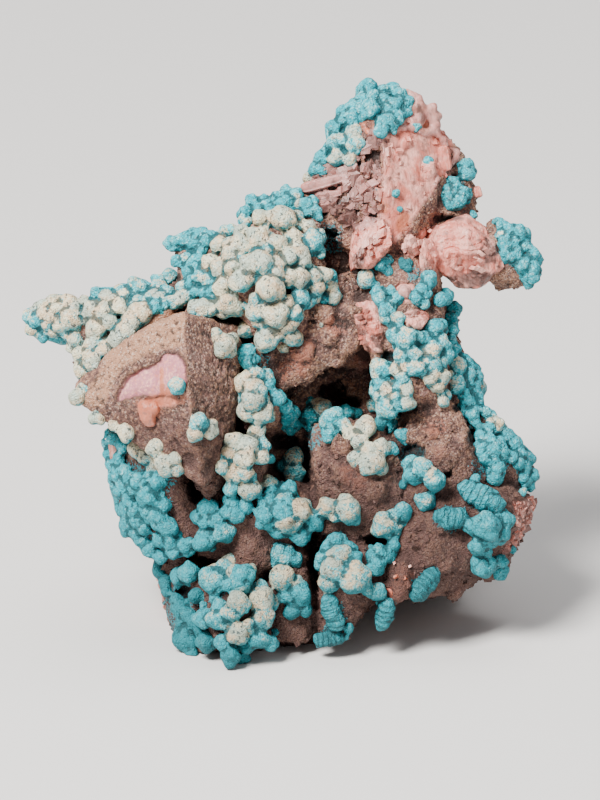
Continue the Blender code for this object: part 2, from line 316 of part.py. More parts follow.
# The larger lumps on the display face, (u, v, radius), by the crystal or block they coat.
LUMPS = {
    "peak": (
        (7.4, 62.9, 1.0), (9.15, 62.5, 0.9), (10.9, 62.1, 0.8), (11.8, 61.2, 0.8), (7.7, 60.6, 1.3),
        (10.3, 60.3, 1.1), (9.4, 58.7, 1.1), (4.65, 60.2, 0.9), (5.4, 59.4, 1.0), (3.6, 58.0, 1.0),
        (5.9, 57.3, 0.9), (3.7, 56.4, 1.0), (4.1, 55.1, 0.9), (2.1, 54.9, 0.9), (1.9, 53.8, 0.9),
        (18.3, 54.1, 1.0), (16.4, 52.3, 1.0), (17.4, 50.9, 1.1), (16.3, 50.6, 0.9),
    ),
    "arm": (
        (23.8, 47.1, 0.9), (22.7, 47.3, 0.8), (22.2, 45.9, 0.9), (22.9, 44.6, 1.0), (25.2, 44.7, 0.8),
        (24.1, 43.6, 1.0), (25.2, 42.7, 1.0), (24.6, 41.5, 0.8),
    ),
    "crest": (
        (-13.9, 45.7, 0.9), (-12.4, 46.3, 1.0), (-10.8, 46.6, 1.0), (-9.8, 46.3, 0.8),
        (-13.3, 43.9, 0.8), (-11.2, 43.9, 1.0), (-12.1, 42.5, 0.9), (-10.6, 41.9, 0.9),
        (-9.8, 40.5, 0.9), (-7.8, 47.0, 0.8),
    ),
    "skyline": (
        (-14.2, 42.3, 0.9), (-15.4, 41.6, 0.9), (-12.6, 40.6, 0.9), (-13.9, 39.4, 1.0),
        (-15.4, 39.4, 1.0), (-17.6, 40.8, 1.2), (-19.3, 40.3, 0.9), (-17.3, 39.5, 0.8),
    ),
    "ridge": (
        (-5.2, 50.3, 0.9), (-5.9, 49.1, 0.8), (-3.6, 50.1, 0.8), (-2.4, 50.7, 0.8), (-1.4, 51.4, 0.8),
        (-0.5, 50.9, 0.9), (0.7, 50.1, 0.9),
    ),
    "dome": (
        (-4.5, 48.2, 0.9), (-1.9, 48.2, 1.4), (-4.5, 46.3, 1.2), (-6.4, 45.7, 1.0), (-8.4, 45.6, 1.0),
        (-9.5, 43.5, 1.0), (-8.4, 43.2, 1.0), (-7.3, 44.4, 1.0), (-6.3, 41.7, 1.3), (-8.3, 41.0, 1.1),
        (-7.6, 39.2, 1.4), (-4.7, 43.4, 1.4), (-2.7, 45.5, 1.2), (-3.2, 40.8, 1.4), (-11.0, 38.9, 1.3),
        (1.3, 46.0, 1.2), (-0.8, 44.5, 1.3), (-1.9, 42.6, 1.2), (-0.1, 42.0, 1.1), (0.2, 39.7, 1.2),
        (1.8, 41.4, 1.1), (3.2, 40.6, 1.0),
    ),
    "below the dome": (
        (-4.6, 38.3, 1.3), (-2.6, 38.0, 1.4), (-1.0, 38.5, 1.2), (-1.4, 37.0, 1.2), (-3.6, 35.5, 1.4),
        (-1.2, 35.7, 1.1), (-8.9, 35.4, 1.0), (-7.6, 35.4, 1.1), (-8.1, 34.0, 1.0), (-5.8, 33.6, 1.1),
        (-4.5, 31.6, 1.0),
    ),
    "left arm": (
        (-29.3, 37.7, 0.8), (-28.2, 38.6, 1.0), (-26.6, 39.2, 1.0), (-28.2, 37.0, 1.0),
        (-25.0, 39.2, 1.0), (-24.9, 37.6, 1.2), (-26.0, 36.6, 1.0), (-23.4, 39.4, 0.7),
        (-21.6, 40.3, 0.9), (-22.4, 38.4, 1.1), (-20.9, 38.0, 1.2), (-22.2, 36.5, 1.2),
        (-22.4, 34.8, 1.2), (-23.7, 33.4, 1.1), (-22.6, 32.8, 1.3), (-19.9, 35.3, 1.0),
        (-18.9, 36.2, 1.0), (-18.2, 37.3, 1.1), (-17.2, 38.1, 1.1), (-24.1, 29.2, 0.9),
    ),
    "pillar": (
        (-5.9, 30.6, 1.2), (-5.0, 28.9, 1.3), (-5.4, 27.4, 1.2), (-4.0, 27.3, 1.1), (-4.7, 25.6, 0.9),
        (-2.1, 28.6, 1.1), (-1.1, 26.7, 1.1),
    ),
    "cluster": (
        (-7.2, 23.8, 1.2), (-5.7, 23.7, 1.3), (-4.1, 23.6, 1.1), (-6.1, 22.3, 1.1), (-8.2, 21.5, 1.0),
        (-6.7, 21.0, 1.2), (-5.4, 19.2, 1.2), (-7.4, 19.2, 0.9), (-10.9, 26.2, 1.1), (-16.3, 27.0, 1.0),
    ),
    "middle left": (
        (-7.2, 17.3, 1.3), (-9.9, 16.9, 1.3), (-11.0, 16.1, 1.0), (-8.1, 14.6, 1.2), (-10.3, 13.7, 1.3),
        (-3.5, 19.2, 1.0), (-3.8, 17.6, 1.1), (-3.8, 16.0, 1.2), (-1.4, 18.6, 1.2), (-1.8, 16.9, 1.3),
        (-0.2, 16.8, 1.3), (-1.4, 15.5, 1.2), (-0.6, 22.4, 1.1), (-0.6, 20.8, 1.1), (1.6, 15.7, 1.1),
        (0.0, 14.1, 1.0),
    ),
    "left edge": (
        (-19.4, 24.6, 1.0), (-17.4, 23.4, 1.2), (-15.8, 23.0, 1.2), (-14.3, 22.0, 1.2),
        (-19.7, 20.7, 1.1), (-17.8, 20.1, 1.2), (-15.6, 20.1, 1.2), (-19.4, 19.2, 1.1),
        (-16.9, 18.4, 1.3), (-18.6, 17.4, 1.1), (-17.0, 16.6, 1.2), (-15.4, 15.9, 1.2),
        (-14.3, 15.0, 1.2), (-18.3, 15.1, 1.2), (-16.9, 13.3, 1.2), (-14.2, 13.2, 1.2),
        (-12.3, 12.9, 1.0), (-12.4, 10.0, 1.3), (-15.2, 10.4, 1.0), (-14.5, 8.4, 0.9),
        (-12.7, 5.4, 1.2), (-12.5, 3.0, 1.3), (-10.2, 2.5, 1.2), (-11.7, 1.3, 0.9),
    ),
    "front foot": (
        (-9.5, 9.4, 1.4), (-8.0, 10.8, 1.1), (-6.4, 9.7, 1.4), (-10.4, 5.1, 1.2), (-8.7, 5.3, 1.3),
        (-6.8, 6.7, 1.4), (-8.6, 6.8, 0.9), (-4.2, 7.2, 1.4), (-3.4, 7.0, 1.0), (-4.1, 5.2, 1.3),
        (-6.6, 3.6, 1.2), (-8.3, 2.6, 1.1), (-4.5, 3.0, 1.2), (-3.2, 2.7, 1.0), (-7.4, 1.2, 1.2),
        (-6.2, 1.1, 1.0),
    ),
    "bottom middle": (
        (-1.9, 11.9, 1.4), (-0.6, 11.4, 0.9), (-1.9, 9.4, 1.3), (-0.1, 7.8, 1.2), (-1.5, 7.8, 1.0),
        (-0.3, 6.0, 1.1), (-1.0, 2.8, 0.9),
    ),
    "right mound": (
        (4.0, 13.5, 1.1), (5.4, 12.7, 1.0), (2.6, 11.5, 1.0), (4.3, 11.9, 1.3), (3.7, 10.6, 1.3),
        (3.1, 9.1, 1.1), (5.9, 9.6, 1.6), (7.8, 8.2, 1.1), (8.3, 10.9, 1.1), (8.9, 12.2, 1.1),
        (10.1, 13.5, 0.9), (9.1, 15.2, 1.3), (11.0, 16.6, 1.1), (3.4, 6.2, 1.2), (3.7, 5.2, 1.1),
        (2.4, 2.7, 0.9), (3.9, 2.8, 0.9), (9.9, 7.0, 1.2), (9.4, 6.0, 1.1), (9.0, 5.0, 1.0),
    ),
    "middle right": (
        (1.1, 27.0, 1.0), (2.6, 27.6, 1.0), (3.6, 26.0, 1.4), (5.0, 27.0, 1.0), (7.0, 25.8, 1.2),
        (5.8, 24.7, 1.0), (8.2, 23.4, 1.2), (7.8, 21.9, 1.3), (10.0, 26.0, 1.1), (10.9, 25.0, 0.9),
        (3.2, 17.1, 1.2), (5.2, 17.0, 1.4), (12.1, 21.2, 1.2), (14.5, 20.1, 1.2), (13.5, 18.0, 1.1),
    ),
    "right column": (
        (7.3, 41.9, 1.0), (8.9, 43.5, 0.9), (11.4, 43.6, 1.0), (8.5, 40.1, 0.9), (9.3, 38.2, 1.0),
        (14.0, 41.7, 1.1), (13.3, 40.2, 1.0), (15.8, 40.0, 1.0), (16.6, 38.5, 1.0), (16.5, 37.1, 1.0),
        (10.3, 35.7, 1.0), (11.7, 35.5, 1.2), (13.3, 35.5, 0.9), (14.5, 36.4, 1.0), (11.2, 33.8, 1.0),
        (14.2, 34.0, 1.1), (15.4, 34.9, 0.9), (8.6, 32.1, 1.1), (12.6, 32.3, 0.9), (14.5, 32.5, 1.1),
        (14.4, 31.3, 0.9), (8.6, 30.2, 0.9), (9.5, 28.2, 1.3), (11.2, 28.6, 1.0), (10.8, 30.2, 0.9),
        (15.6, 29.0, 0.9),
    ),
    "right edge": (
        (16.6, 34.8, 0.9), (17.0, 32.6, 1.1), (17.0, 30.8, 1.1), (18.3, 32.4, 1.0), (19.1, 31.0, 1.0),
        (18.8, 29.3, 1.1), (18.4, 27.6, 1.1), (20.5, 27.2, 1.0), (21.5, 25.8, 1.1), (20.1, 24.4, 1.1),
        (20.6, 23.1, 1.2), (21.6, 23.6, 1.1), (23.1, 23.9, 1.0), (24.0, 22.6, 1.0), (21.3, 20.9, 1.2),
        (23.2, 22.2, 1.0), (25.1, 20.8, 0.9), (24.6, 19.7, 0.9),
    ),
    "right bulge": (
        (18.4, 18.9, 1.3), (19.7, 18.3, 1.3), (21.0, 17.6, 1.3), (15.4, 16.0, 1.3), (17.0, 16.0, 1.3),
        (20.3, 15.1, 1.5), (18.9, 15.1, 1.1), (20.6, 13.8, 1.1), (22.1, 15.1, 1.2), (19.4, 12.9, 1.1),
        (19.8, 10.9, 1.4), (21.8, 10.8, 1.1), (14.2, 9.6, 1.2), (13.1, 8.4, 1.2),
    ),
}

# Patches of lumps out of sight on the back and sides: the block, the way (u, v, w) that the patch
# faces, how many lumps, and how wide the patch is, from 0 to 1 for half the block.
HIDDEN_LUMPS = (
    ("upper core", (0.5, 0.6, 1.0), 9, 0.1),
    ("upper core", (-0.8, 0.3, 1.0), 8, 0.08),
    ("lower core", (-0.9, 0.5, 0.7), 8, 0.06),
    ("back hump", (0.4, 0.5, 0.7), 9, 0.08),
    ("back hump", (-0.7, 0.2, 0.8), 8, 0.07),
    ("peak crystal", (-0.5, 0.9, 0.8), 9, 0.16),
    ("peak crystal", (0.6, 0.1, 1.0), 6, 0.1),
    ("arm end", (0.6, 0.5, 0.8), 5, 0.5),
    ("left arm tip", (-0.7, 0.6, 1.0), 5, 0.5),
    ("left arm", (-0.2, 1.0, 0.8), 6, 0.2),
    ("left edge", (-0.7, 0.0, 0.9), 8, 0.2),
    ("edge band lower", (0.7, 0.5, 1.0), 6, 0.3),
    ("edge band upper", (0.4, 0.2, 1.0), 5, 0.2),
)

# Calcite rhombs half sunk in their blocks: the block, the way that they face, how many, how wide
# they are spread, and their edge length.
DRUSE = (
    ("left crystal", (0.6, -0.2, -1.0), 8, 0.75, 1.5),
    ("centre rock", (0.0, -0.2, -1.0), 7, 0.75, 1.5),
    ("low face", (0.2, 0.0, -1.0), 7, 0.75, 1.5),
    ("right face", (0.2, 0.2, -1.0), 6, 0.75, 1.4),
    ("low right", (0.0, -0.3, -1.0), 7, 0.75, 1.6),
    ("peak crystal", (0.7, 0.2, -0.8), 6, 0.75, 1.6),
    ("peak shoulder", (0.2, -0.2, -1.0), 5, 0.75, 1.5),
    ("upper core", (0.1, -0.1, 1.0), 5, 0.4, 8.0),
    ("lower core", (0.0, 0.1, 1.0), 6, 0.6, 10.0),
    ("back hump", (0.1, 0.2, 1.0), 7, 0.6, 7.5),
    ("base rear", (0.1, 0.3, 1.0), 5, 0.6, 5.0),
    ("peak crystal", (0.1, -0.1, 1.0), 4, 0.4, 5.5),
    ("back hump", (0.2, 0.3, 1.0), 8, 0.8, 3.0),
    ("upper core", (0.0, 0.1, 1.0), 7, 0.7, 3.2),
)

# A lump sits this share of its radius out of the surface, and holds on to an edge within GRIP.
LUMP_SEAT = 0.3
GRIP = 0.5
# What stands too far back to carry a lump that shows on the display face.
FAR_BLOCKS = ("back hump", "base front", "base rear")
# The depths between which a lump beyond the outline looks for its block, and their spacing.
DEPTH_RANGE = (-8.0, 14.0, 0.25)
# Faces that lean less than this are taken as level.
FLAT = 1e-6
# The radius from which a lump has the finer sphere, and how far a coarse one is swollen to match.
FINE_LUMP = 1.15
COARSE_SWELL = 1.08
# The radii of the lumps out of sight, and the sizes of the rhombs in shares of their edge: each
# one's place between the two is its number times the step, less the whole part.
HIDDEN_RADII = (1.2, 2.0)
RADIUS_STEP = 0.618
EDGE_SHARES = (0.75, 1.25)
EDGE_STEP = 0.381
# How far each shape in a row is turned from the one before, and how the turn is shared by the axes.
SHOWN_TURN, HIDDEN_TURN, RHOMB_TURN = 1.1, 1.3, 0.9
LUMP_AXES = (1.0, 2.3, 0.7)
RHOMB_AXES = (1.0, 1.7, 0.9)
# The floor cutter's size, in lengths of the specimen.
CUTTER_REACH = 3
KEPT_FACES = 0.3
GOLDEN_ANGLE = math.pi * (3 - math.sqrt(5))
RHOMB_ANGLE = math.radians(75)


def display_to_row():
    """The matrix from the display face's millimetres to the row's metres."""
    sine, cosine = math.sin(LEAN), math.cos(LEAN)
    turn = Matrix(
        (
            (1, 0, 0, -CENTRE_U),
            (0, sine, cosine, -CENTRE_DEPTH),
            (0, cosine, -sine, -BASE_CUT),
            (0, 0, 0, 1),
        )
    )
    return Matrix.Scale(MM, 4) @ turn


def hull(corners):
    """A bmesh of the convex hull of the corners, in display millimetres."""
    shell = bmesh.new()
    for corner in corners:
        shell.verts.new(corner)
    result = bmesh.ops.convex_hull(shell, input=shell.verts)
    spare = {item for item in result["geom_interior"] + result["geom_unused"]}
    spare = [item for item in spare if isinstance(item, bmesh.types.BMVert)]
    bmesh.ops.delete(shell, geom=spare, context="VERTS")
    bmesh.ops.recalc_face_normals(shell, faces=shell.faces)
    shell.normal_update()
    return shell


def planes(shell):
    """The outward normals and offsets of a hull's faces, as arrays."""
    normals = np.array([face.normal for face in shell.faces])
    points = np.array([face.verts[0].co for face in shell.faces])
    return normals, np.einsum("ij,ij->i", normals, points)


def entry_depth(block, u, v, margin):
    """How deep the sight line at (u, v) enters a block grown by the margin, or None."""
    normals, offsets = block
    reach = offsets + margin - normals[:, 0] * u - normals[:, 1] * v
    slope = normals[:, 2]
    front = slope < -FLAT
    back = slope > FLAT
    side = ~front & ~back
    if np.any(reach[side] < 0):
        return None
    enter = np.max(reach[front] / slope[front])
    leave = np.min(reach[back] / slope[back])
    return enter if enter < leave else None


def nearest_depth(blocks, u, v):
    """The depth at which a sight line beyond the outline passes closest to the blocks."""
    depths = np.arange(*DEPTH_RANGE)
    gaps = [
        np.max(normals @ np.array([np.full_like(depths, u), np.full_like(depths, v), depths])
               - offsets[:, None], axis=0)
        for normals, offsets in blocks
    ]
    return depths[np.argmin(np.min(gaps, axis=0))]


def seat(blocks, u, v, radius):
    """The centre of a lump seen at (u, v): on the first block that the sight line meets."""
    depths = [entry_depth(block, u, v, GRIP * radius) for block in blocks]
    depths = [depth for depth in depths if depth is not None]
    depth = min(depths) if depths else nearest_depth(blocks, u, v)
    return Vector((u, v, depth + (GRIP - LUMP_SEAT) * radius))


def spread(toward, count, width):
    """Unit directions on a golden spiral, spread evenly over the cap that faces one way."""
    axis = Vector(toward).normalized()
    turn = axis.to_track_quat("Z", "Y")
    for index in range(count):
        height = 1 - width * (index + 0.5) / count
        ring = math.sqrt(1 - height * height)
        angle = index * GOLDEN_ANGLE
        yield turn @ Vector((ring * math.cos(angle), ring * math.sin(angle), height))


def surface_point(block, middle, direction):
    """Where a ray from a block's middle leaves it."""
    normals, offsets = block
    facing = normals @ np.array(direction)
    reach = offsets - normals @ np.array(middle)
    out = facing > FLAT
    return middle + direction * float(np.min(reach[out] / facing[out]))


def placing(centre, turn, axes):
    """The matrix that turns a shape by the turn's share for each axis and moves it to its centre."""
    angles = Euler([turn * share for share in axes])
    return Matrix.Translation(centre) @ angles.to_matrix().to_4x4()


def between(bounds, index, step):
    """A size between two bounds that steps through them by turns."""
    low, high = bounds
    return low + (high - low) * ((index * step) % 1)


def lump(centre, radius, turn):
    """A round lump: an icosphere, with the fewer faces where it is small."""
    shell = bmesh.new()
    fine = radius >= FINE_LUMP
    bmesh.ops.create_icosphere(
        shell,
        subdivisions=2 if fine else 1,
        radius=radius if fine else radius * COARSE_SWELL,
        matrix=placing(centre, turn, LUMP_AXES),
    )
    return shell


def rhomb(centre, edge, turn):
    """A calcite rhombohedron: three edges of one length at RHOMB_ANGLE to each other."""
    shell = bmesh.new()
    bmesh.ops.create_cube(shell, size=edge)
    lean = math.cos(RHOMB_ANGLE)
    skew = Matrix(((1, lean, lean), (0, 1, lean), (0, 0, 1))).to_4x4()
    shell.transform(placing(centre, turn, RHOMB_AXES) @ skew)
    return shell


def new_object(name, shell, helper=True):
    """Puts a shell into the scene in the row's metres. The display face's axes are left-handed, so
    the faces are turned round on the way. A helper is wire and isn't rendered."""
    bmesh.ops.recalc_face_normals(shell, faces=shell.faces)
    shell.transform(display_to_row())
    bmesh.ops.reverse_faces(shell, faces=shell.faces)
    mesh = bpy.data.meshes.new(name)
    shell.to_mesh(mesh)
    shell.free()
    item = bpy.data.objects.new(name, mesh)
    bpy.context.scene.collection.objects.link(item)
    if helper:
        item.hide_render = True
        item.display_type = "WIRE"
    return item


def add_boolean(target, name, operation, solver, items):
    """One Boolean with a collection of helpers."""
    group = bpy.data.collections.new(name)
    for item in items:
        bpy.context.scene.collection.objects.unlink(item)
        group.objects.link(item)
    bpy.context.scene.collection.children.link(group)
    boolean = target.modifiers.new(name, "BOOLEAN")
    boolean.operation = operation
    boolean.operand_type = "COLLECTION"
    boolean.collection = group
    boolean.solver = solver


def thin_out(target):
    """Collapses the small triangles that the union leaves, which keeps flat faces flat."""
    fewer = target.modifiers.new("fewer faces", "DECIMATE")
    fewer.decimate_type = "COLLAPSE"
    fewer.ratio = KEPT_FACES


def stone_material():
    """Brown crust, the colour that covers most of the matrix."""
    material = bpy.data.materials.new("matrix_crust")
    material.use_nodes = True
    shader = material.node_tree.nodes["Principled BSDF"]
    shader.inputs["Base Color"].default_value = (*BROWN, 1)
    shader.inputs["Roughness"].default_value = CRUST_ROUGHNESS
    shader.inputs["Metallic"].default_value = 0.0
    return material


def shown_lumps(blocks):
    """The lumps of the display face."""
    near = [block for name, block in blocks.items() if name not in FAR_BLOCKS]
    items = []
    for cluster, lumps in LUMPS.items():
        for index, (u, v, radius) in enumerate(lumps):
            centre = seat(near, u, v, radius)
            shell = lump(centre, radius, SHOWN_TURN * index)
            items.append(new_object(f"{cluster} lump {index}", shell))
    return items


def hidden_lumps(blocks, middles):
    """Lumps spread over the back and sides."""
    items = []
    for name, toward, count, width in HIDDEN_LUMPS:
        for index, direction in enumerate(spread(toward, count, width)):
            centre = surface_point(blocks[name], middles[name], direction)
            shell = lump(centre, between(HIDDEN_RADII, index, RADIUS_STEP), HIDDEN_TURN * index)
            items.append(new_object(f"{name} back lump {index}", shell))
    return items


def druse(blocks, middles):
    """Rhombs half sunk in the faces of their blocks."""
    items = []
    for name, toward, count, width, edge in DRUSE:
        for index, direction in enumerate(spread(toward, count, width)):
            centre = surface_point(blocks[name], middles[name], direction)
            size = edge * between(EDGE_SHARES, index, EDGE_STEP)
            items.append(new_object(f"{name} rhomb {index}", rhomb(centre, size, RHOMB_TURN * index)))
    return items


def floor_cutter():
    """A box below the floor, which leaves the base flat."""
    shell = bmesh.new()
    bmesh.ops.create_cube(shell, size=1.0)
    reach = CUTTER_REACH * max(WIDTH, HEIGHT, DEPTH)
    in_row = Matrix.Translation((0, 0, -reach * MM / 2)) @ Matrix.Scale(reach * MM, 4)
    shell.transform(display_to_row().inverted() @ in_row)
    return new_object("floor cutter", shell)


def main():
    for item in list(bpy.data.objects):
        bpy.data.objects.remove(item)
    shells = {name: hull(corners) for name, corners in BLOCKS.items()}
    blocks = {name: planes(shell) for name, shell in shells.items()}
    middles = {
        name: sum((vert.co for vert in shell.verts), Vector()) / len(shell.verts)
        for name, shell in shells.items()
    }
    specimen = new_object("specimen", shells.pop("lower core"), helper=False)
    specimen.data.materials.append(stone_material())
    grown = [new_object(name, shell) for name, shell in shells.items()]
    grown += shown_lumps(blocks) + hidden_lumps(blocks, middles) + druse(blocks, middles)
    add_boolean(specimen, "grown together", "UNION", "EXACT", grown)
    thin_out(specimen)
    pits = [new_object(name, hull(corners)) for name, corners in PITS.items()]
    add_boolean(specimen, "pits and base", "DIFFERENCE", "MANIFOLD", [*pits, floor_cutter()])


main()
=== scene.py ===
"""Veszelyite specimen: round turquoise and cream lumps on brown, iron-stained calcite with pink
crystals, built as an add-on panel with one button for each kind of piece.

Places are in millimetres on the display face: u to the right, v up the face, and w away from the
viewer. The face leans back by LEAN and the specimen stands on its trimmed base.
"""

import math

import bmesh
import bpy
import numpy as np
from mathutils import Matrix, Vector


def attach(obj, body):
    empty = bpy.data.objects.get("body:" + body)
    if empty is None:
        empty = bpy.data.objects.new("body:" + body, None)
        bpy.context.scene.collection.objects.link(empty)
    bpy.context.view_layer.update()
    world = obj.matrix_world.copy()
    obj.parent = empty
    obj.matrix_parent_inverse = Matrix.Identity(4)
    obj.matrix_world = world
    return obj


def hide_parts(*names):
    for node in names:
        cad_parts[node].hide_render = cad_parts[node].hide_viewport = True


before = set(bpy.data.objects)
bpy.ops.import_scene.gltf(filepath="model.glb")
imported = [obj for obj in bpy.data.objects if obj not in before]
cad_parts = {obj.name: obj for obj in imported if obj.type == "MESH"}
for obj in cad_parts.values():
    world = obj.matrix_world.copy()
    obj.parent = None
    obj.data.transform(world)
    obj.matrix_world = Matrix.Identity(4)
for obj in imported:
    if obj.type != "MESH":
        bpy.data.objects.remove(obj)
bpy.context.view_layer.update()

bl_info = {
    "name": "Veszelyite Specimen",
    "version": (1, 0, 0),
    "blender": (4, 5, 0),
    "location": "3D View > Sidebar > Specimen",
    "description": "Builds a veszelyite specimen: coated lumps, brown crust and pink calcite",
    "category": "Object",
}

MM = 0.001
# How far the display face leans back and, in millimetres, the base's middle and how high it is cut.
LEAN = math.radians(20)
CENTRE_U = -1.7
CENTRE_DEPTH = 13.86
BASE_CUT = 1.3

